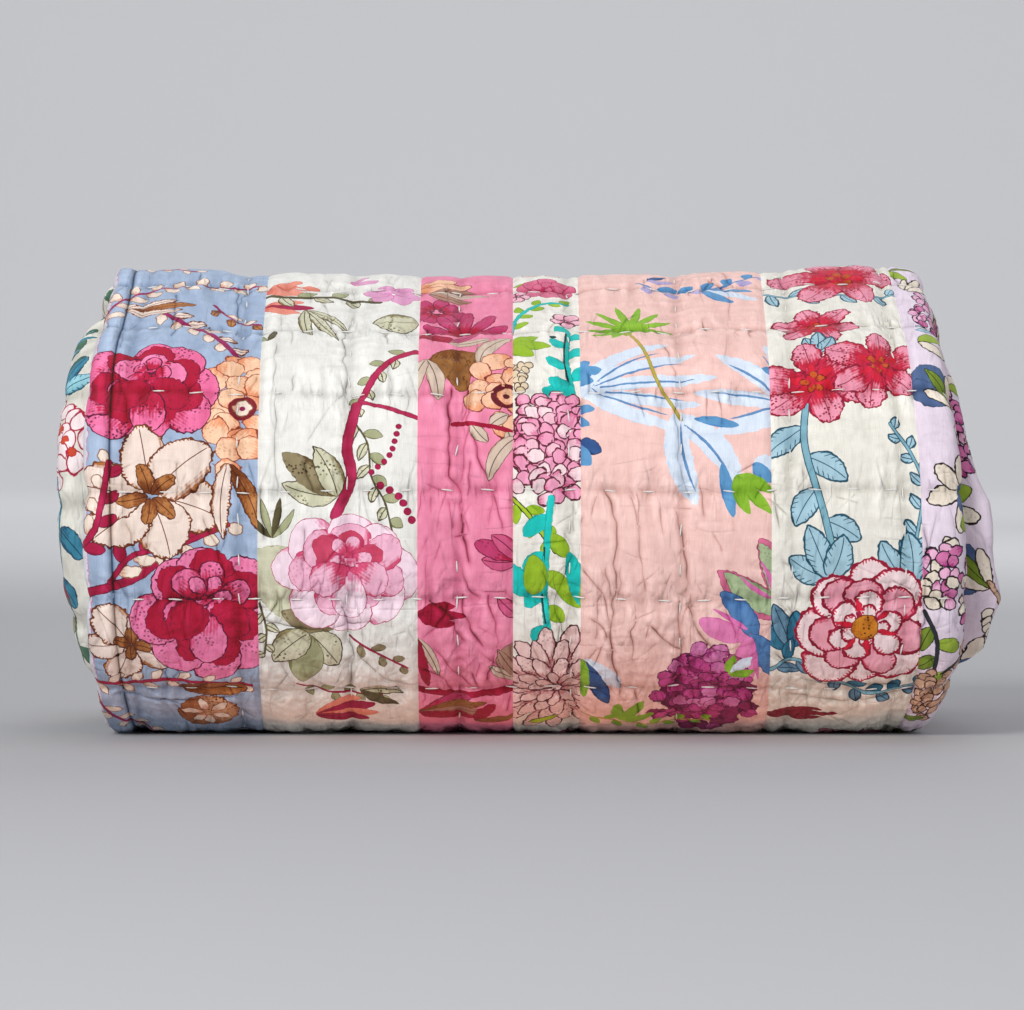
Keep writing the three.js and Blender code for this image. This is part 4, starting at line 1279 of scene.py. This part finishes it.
# How far an edge stands out past the outer layer's, in mm, by the place round the outermost turn
# as a share of it.
left_fold_reach = [
    (0.0, 9), (0.1, 11), (0.25, 10), (0.36, 7), (0.4, 1.5), (0.425, 6), (0.45, 12.5), (0.49, 13.6),
    (0.54, 14.2), (0.565, 15.5), (0.59, 12.6), (0.62, 13), (0.66, 13), (0.68, 10), (0.71, 7.5),
    (0.735, 4), (0.79, 1), (0.85, 5), (1, 12),
]
right_hem_reach = [
    (0.0, 7), (0.1, 8), (0.3, 6), (0.45, 0), (0.49, 1.5), (0.54, 4.5), (0.58, 6), (0.605, 11),
    (0.65, 11.5), (0.672, 15.5), (0.69, 13.5), (0.712, 13), (0.722, 8), (0.735, -3), (0.85, -2),
    (0.93, 4), (1, 6),
]
edge_leg = 18 * mm         # how far the cloth runs in from its edge on both sides
edge_cell = 1.8 * mm
edge_close = 7 * mm        # over which a band's end is drawn shut


row_on_edge = 393.7 * mm   # cloth length of a stitched row on a band


def edge_band(name, side, turns, shares, reach, cotton, c_middle):
    """A band round an edge at one end, -1 for the left and 1 for the right. turns is where it
    starts and stops, shares its place in the turn's thickness, and c_middle the cloth coordinate
    in mm of its outermost line."""
    column = left_column if side < 0 else right_column
    middle_share, radius = sum(shares) / 2, (shares[1] - shares[0]) / 2 * turn_thickness
    fine_turns = np.linspace(*turns, 1600)
    y, z = in_section(fine_turns, middle_share)
    lengths = np.concatenate([[0], np.cumsum(np.hypot(np.diff(y), np.diff(z)))])
    quarter = radius * np.pi / 2
    wide = (c_middle * mm - quarter - edge_leg, c_middle * mm + quarter + edge_leg)

    def height(c, s):
        row = (s - row_on_edge) / square
        dent = np.exp(-((((row - np.round(row)) * square) / (4 * mm)) ** 2))
        ripples = ripple(c / (9 * mm), s / (16 * mm), 71) + 0.6 * ripple((c + s) / (5 * mm), s / (9 * mm), 72)
        return (0.55 * ripples - 1.1 * dent) * mm * radius / fold_radius

    def place(c, s):
        outward = (c - c_middle * mm) * -side
        bend = np.clip(outward / radius, -np.pi / 2, np.pi / 2)
        from_end = np.minimum(s, lengths[-1] - s)
        shut = np.sqrt(1 - (1 - np.clip(from_end / edge_close, 0, 1)) ** 2)
        thick = (radius + height(c, s)) * shut
        turn = np.interp(s, lengths, fine_turns)
        y, z = in_section(turn, middle_share - thick * np.sin(bend) / turn_thickness)
        angle = angle_of(turn)
        slid = np.interp(turn, [row[0] for row in slides], [row[column - 1] for row in slides])
        past = np.interp(turn % 1, *np.array(reach, float).T)
        settled = smooth_step(turn, 0.92, 1.15)
        past = past * (1 - settled) + np.mean([row[1] for row in reach]) * settled
        past = past + 1.3 * ripple(s / (24 * mm), s * 0, 73)
        edge = half_width + section_at(angle, column) + (slid + past) * mm
        x = edge - radius + thick * np.cos(bend) - np.maximum(np.abs(outward) - quarter, 0)
        z = np.maximum(crowned(side * x, z), 0.2 * mm)
        return np.stack([side * x + middle_x, y, z], axis=-1)

    piece = cloth_piece(name, wide, (0, lengths[-1]), place, cotton, height=height, cell=edge_cell)
    wide[1] - wide[0]


edge_band("left_fold", -1, (0, 4.02), (0.28, 0.98), left_fold_reach, teal_sprig, 0)
edge_band("left_hem", -1, (1, 4.6), (0, 0.28), [(0, 0), (1, 0)], blue_in, -198.8)
edge_band("right_fold", 1, (1, 4.2), (0, 0.66), [(0, 1), (1, 1)], lavender_in, 198.1)
edge_band("right_hem", 1, (0, 4.02), (0.66, 0.98), right_hem_reach, lavender_in, 203)

# Deep between the turns the layers lie close, and only their shade shows: at each end a flat disc, painted
# dark grey as that shade.
painted_inner_shade, tree, shader = new_material("cotton in the shade", {"Roughness": 0.95})
place = node_of(tree, "ShaderNodeTexCoord", {}).outputs["Object"]
shade = noise_at(tree, place, 60, 2) + 0.5
# painted shade: the disc's dark grey stands for the shade deep in the roll
soft_grey = mix_colours(tree, shade, linear("5a4f50"), linear("80706f"))
give(tree, shader.inputs["Base Color"], soft_grey)
inner_depth = 17 * mm
for side in (-1, 1):
    bm = bmesh.new()
    bmesh.ops.create_circle(bm, cap_ends=True, cap_tris=True, segments=96, radius=1)
    for vert in bm.verts:
        share = math.hypot(vert.co.x, vert.co.y)
        turn = (math.atan2(vert.co.y, vert.co.x) / (2 * math.pi)) % 1
        y, z = in_section(turn * 0.9, 0.5)
        x = side * (half_width - inner_depth) + middle_x
        vert.co = (x, middle_y + (y - middle_y) * share, centre_height + (z - centre_height) * share)
    bmesh.ops.recalc_face_normals(bm, faces=bm.faces)
    if bm.faces[0].normal.x * side < 0:
        bmesh.ops.reverse_faces(bm, faces=bm.faces)
    put_on_roll(mesh_of(bm, "left_inner_turns_shade" if side < 0 else "right_inner_turns_shade"), painted_inner_shade)

# --- The loose end ----------------------------------------------------------------------------
# At the lower back the quilt's short edge lies across the roll. The outer layer's hem is part of
# its strips. The two layers under it end in hems of their own, strip by strip.
end_radius = 3.5 * mm
end_leg = 14 * mm
end_right = 188 * mm       # from the middle to the ends' right edge
lavender_round_fold = 40 * mm
strip_cottons = [blue_rose, white_rose, rose_pink, floret, peach_frond, ivory_lily, lavender]
layer_ends = {
    # how deep in the turn, how far it sticks out, and its strips by number from the right
    "middle": (0.5, 0.5 * mm, (6, 4, 1, 5, 0, 3)),
    "inner": (0.83, -1.5 * mm, (5, 2, 4, 0, 3, 1)),
}
for layer, (share, out, strips) in layer_ends.items():
    right = end_right
    for number, strip in enumerate(strips):
        cotton, first = strip_cottons[strip], seams[strip] * mm
        width = lavender_round_fold if cotton is lavender else seams[strip + 1] * mm - first
        shift = right - width - first

        def height(c, s):
            return 0.4 * mm * ripple(c / (8 * mm), s / (8 * mm), 81 + number)

        def place(c, s):
            bend = np.clip(s / end_radius, -np.pi / 2, np.pi / 2)
            quarter = end_radius * np.pi / 2
            thick = end_radius + height(c, s)
            in_from_edge = end_radius - thick * np.cos(bend) + np.maximum(np.abs(s) - quarter, 0) - out
            y, z = in_section(in_from_edge / skin_length, share - thick * np.sin(bend) / turn_thickness)
            return np.stack([leaned(c + shift, loose_end_angle), y, np.maximum(z, 0.3 * mm)], axis=-1)

        reach = end_radius * np.pi / 2 + end_leg
        piece = cloth_piece(f"{layer}_layer_end_{number + 1}", (first, first + width), (-reach, reach),
                            place, cotton, height=height)
        2 * reach
        right -= width

# --- The quilting stitches --------------------------------------------------------------------
# Thick white cotton, in hand-sewn running stitches along the rows and columns of the squares.
thread, tree, shader = new_material("white cotton thread", {"Roughness": 0.75, "Sheen Weight": 0.2})
place = node_of(tree, "ShaderNodeTexCoord", {}).outputs["Object"]
twist = node_of(tree, "ShaderNodeTexWave", {"Vector": place, "Scale": 900, "Distortion": 2},
                bands_direction="DIAGONAL").outputs["Fac"]
give(tree, shader.inputs["Base Color"], mix_colours(tree, twist, linear("d9d5d0"), linear("f4f2ee")))
bump = node_of(tree, "ShaderNodeBump", {"Height": twist, "Distance": 0.1 * mm, "Strength": 0.6})
give(tree, shader.inputs["Normal"], bump.outputs[0])
thread_radius = 0.4 * mm
stitched_to = skin_length * 0.93          # past it the cloth is under the loose end
column_stitches_left = 0.62              # the others have sunk into the cotton
stitches_aside = 12                      # in a row, from the middle to either side
stitched_columns = range(-2, 5)          # counted from the one by the middle


def stitch_places():
    """The middle of every stitch and the way it runs, in the cloth."""
    rng = np.random.default_rng(5)
    first_row = math.ceil((8 * mm - row_on_front) / square)
    last_row = int((stitched_to - row_on_front) / square)
    for row in range(first_row, last_row + 1):
        for n in range(-stitches_aside, stitches_aside + 1):
            x = n * stitch_pitch - (row_shift * row) % stitch_pitch + rng.normal(0, 0.8) * mm
            if edge_column + 3 * mm < x < 196 * mm:
                yield x, row_line(row, x), (1, rng.normal(0, 0.08))
    for column in stitched_columns:
        for n in range(int(skin_length / stitch_pitch) + 2):
            s = n * stitch_pitch - (column_shift * column) % stitch_pitch + rng.normal(0, 0.8) * mm
            if 6 * mm < s < stitched_to and rng.uniform() < column_stitches_left:
                yield column_line(column, s), s, (rng.normal(0, 0.08), 1)


placed = [[] for _ in seams[1:]]
for x, s, way in stitch_places():
    placed[int(np.searchsorted(seams[1:-1], x / mm))].append((float(x), float(s), way))
for number, stitches in enumerate(placed):
    bm = bmesh.new()
    for x, s, way in stitches:
        half = stitch_length / 2 * (0.85 + 0.3 * (abs(ripple(np.array(x * 900), np.array(s * 700), 91))))
        ends = on_layer(np.array([x - way[0] * half, x, x + way[0] * half]),
                        np.array([s - way[1] * half, s, s + way[1] * half]))
        along = Vector(ends[2] - ends[0])
        side = on_layer(np.array([x - way[1] * mm, x + way[1] * mm]),
                        np.array([s + way[0] * mm, s - way[0] * mm]))
        up = along.cross(Vector(side[1] - side[0])).normalized()
        middle = Vector(ends.mean(0)) + up * thread_radius * 0.6
        axis = along.normalized()
        across = up.cross(axis)
        turned = Matrix((axis, across, up)).transposed().to_4x4()
        size = Matrix.Diagonal((along.length / 2, thread_radius, thread_radius, 1))
        bmesh.ops.create_uvsphere(bm, u_segments=6, v_segments=5, radius=1,
                                  matrix=Matrix.Translation(middle) @ turned @ size)
    mesh = mesh_of(bm, f"stitches_{number + 1}")
    mesh.polygons.foreach_set("use_smooth", [True] * len(mesh.polygons))
    put_on_roll(mesh, thread)

# --- Floor, light and camera ------------------------------------------------------------------
# A pale floor that rises into a round wall far off, soft lamps above, and the camera level with
# the roll's upper half, a little over two and a half metres off.
bm = bmesh.new()
floor_radius, wall_radius, wall_height, bend = 5.0, 7.5, 7.0, 2.5
start = bm.verts.new((0, 0, 0))
profile = [start, bm.verts.new((floor_radius, 0, 0))]
for k in range(1, 13):
    turn = math.pi / 2 * k / 12
    profile.append(bm.verts.new((floor_radius + bend * math.sin(turn), 0, bend * (1 - math.cos(turn)))))
profile.append(bm.verts.new((wall_radius, 0, wall_height)))
edges = [bm.edges.new(pair) for pair in zip(profile, profile[1:])]
bmesh.ops.spin(bm, geom=profile + edges, axis=(0, 0, 1), steps=96, angle=2 * math.pi, use_merge=True)
bmesh.ops.remove_doubles(bm, verts=bm.verts, dist=1e-5)
bmesh.ops.recalc_face_normals(bm, faces=bm.faces)
mesh = mesh_of(bm, "floor")
mesh.polygons.foreach_set("use_smooth", [True] * len(mesh.polygons))
paper, tree, shader = new_material("pale paper", {"Base Color": (0.45, 0.45, 0.46, 1), "Roughness": 0.9})
put(mesh, paper)

bpy.context.scene.view_settings.view_transform = "Standard"      # it keeps the prints' colours clear
world = bpy.data.worlds.new("room")
world.use_nodes = True
world.node_tree.nodes["Background"].inputs["Color"].default_value = (0.9, 0.93, 1, 1)
world.node_tree.nodes["Background"].inputs["Strength"].default_value = 0.5
bpy.context.scene.world = world


def lamp(name, place, aim, size, power, colour=(1, 1, 1), shape="DISK"):
    light = bpy.data.lights.new(name, "AREA")
    light.shape = shape
    light.size = size
    light.size_y = size * 0.16
    light.energy = power
    light.color = colour
    holder = bpy.data.objects.new(name, light)
    holder.location = place
    holder.rotation_euler = (Vector(aim) - Vector(place)).to_track_quat("-Z", "Y").to_euler()
    holder.visible_camera = False
    bpy.context.scene.collection.objects.link(holder)


lamp("key", (-1.4, -2.6, 1.7), (0, 0, 0.12), 1.3, 75)
lamp("fill", (2.2, -2.6, 1.0), (0, 0, 0.12), 2.0, 25)
lamp("back", (0.5, 2.4, 1.5), (0, 0, 0.12), 1.6, 16)
lamp("bounce", (0, -0.11, 0.003), (0, -0.11, 1), 0.42, 0.02, (1, 0.38, 0.16), "ELLIPSE")
lamp("top", (0.2, 0.5, 2.6), (0, 0, 0.1), 2.2, 8)
lamp("wall", (0, 3.2, 3.4), (0, 7.4, 0.9), 2.5, 168)

camera_distance = 2.55    # from the roll's front
camera_height = 0.17
camera_tilt = 1.432       # degrees down
camera = bpy.data.objects.new("camera", bpy.data.cameras.new("camera"))
camera.data.lens = 201.7
camera.data.sensor_width = 36
camera.location = (-5.8 * mm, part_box("rolled_quilt")[0].y - camera_distance, camera_height)
camera.rotation_euler = (math.radians(90 - camera_tilt), 0, 0)
bpy.context.scene.collection.objects.link(camera)
bpy.context.scene.camera = camera
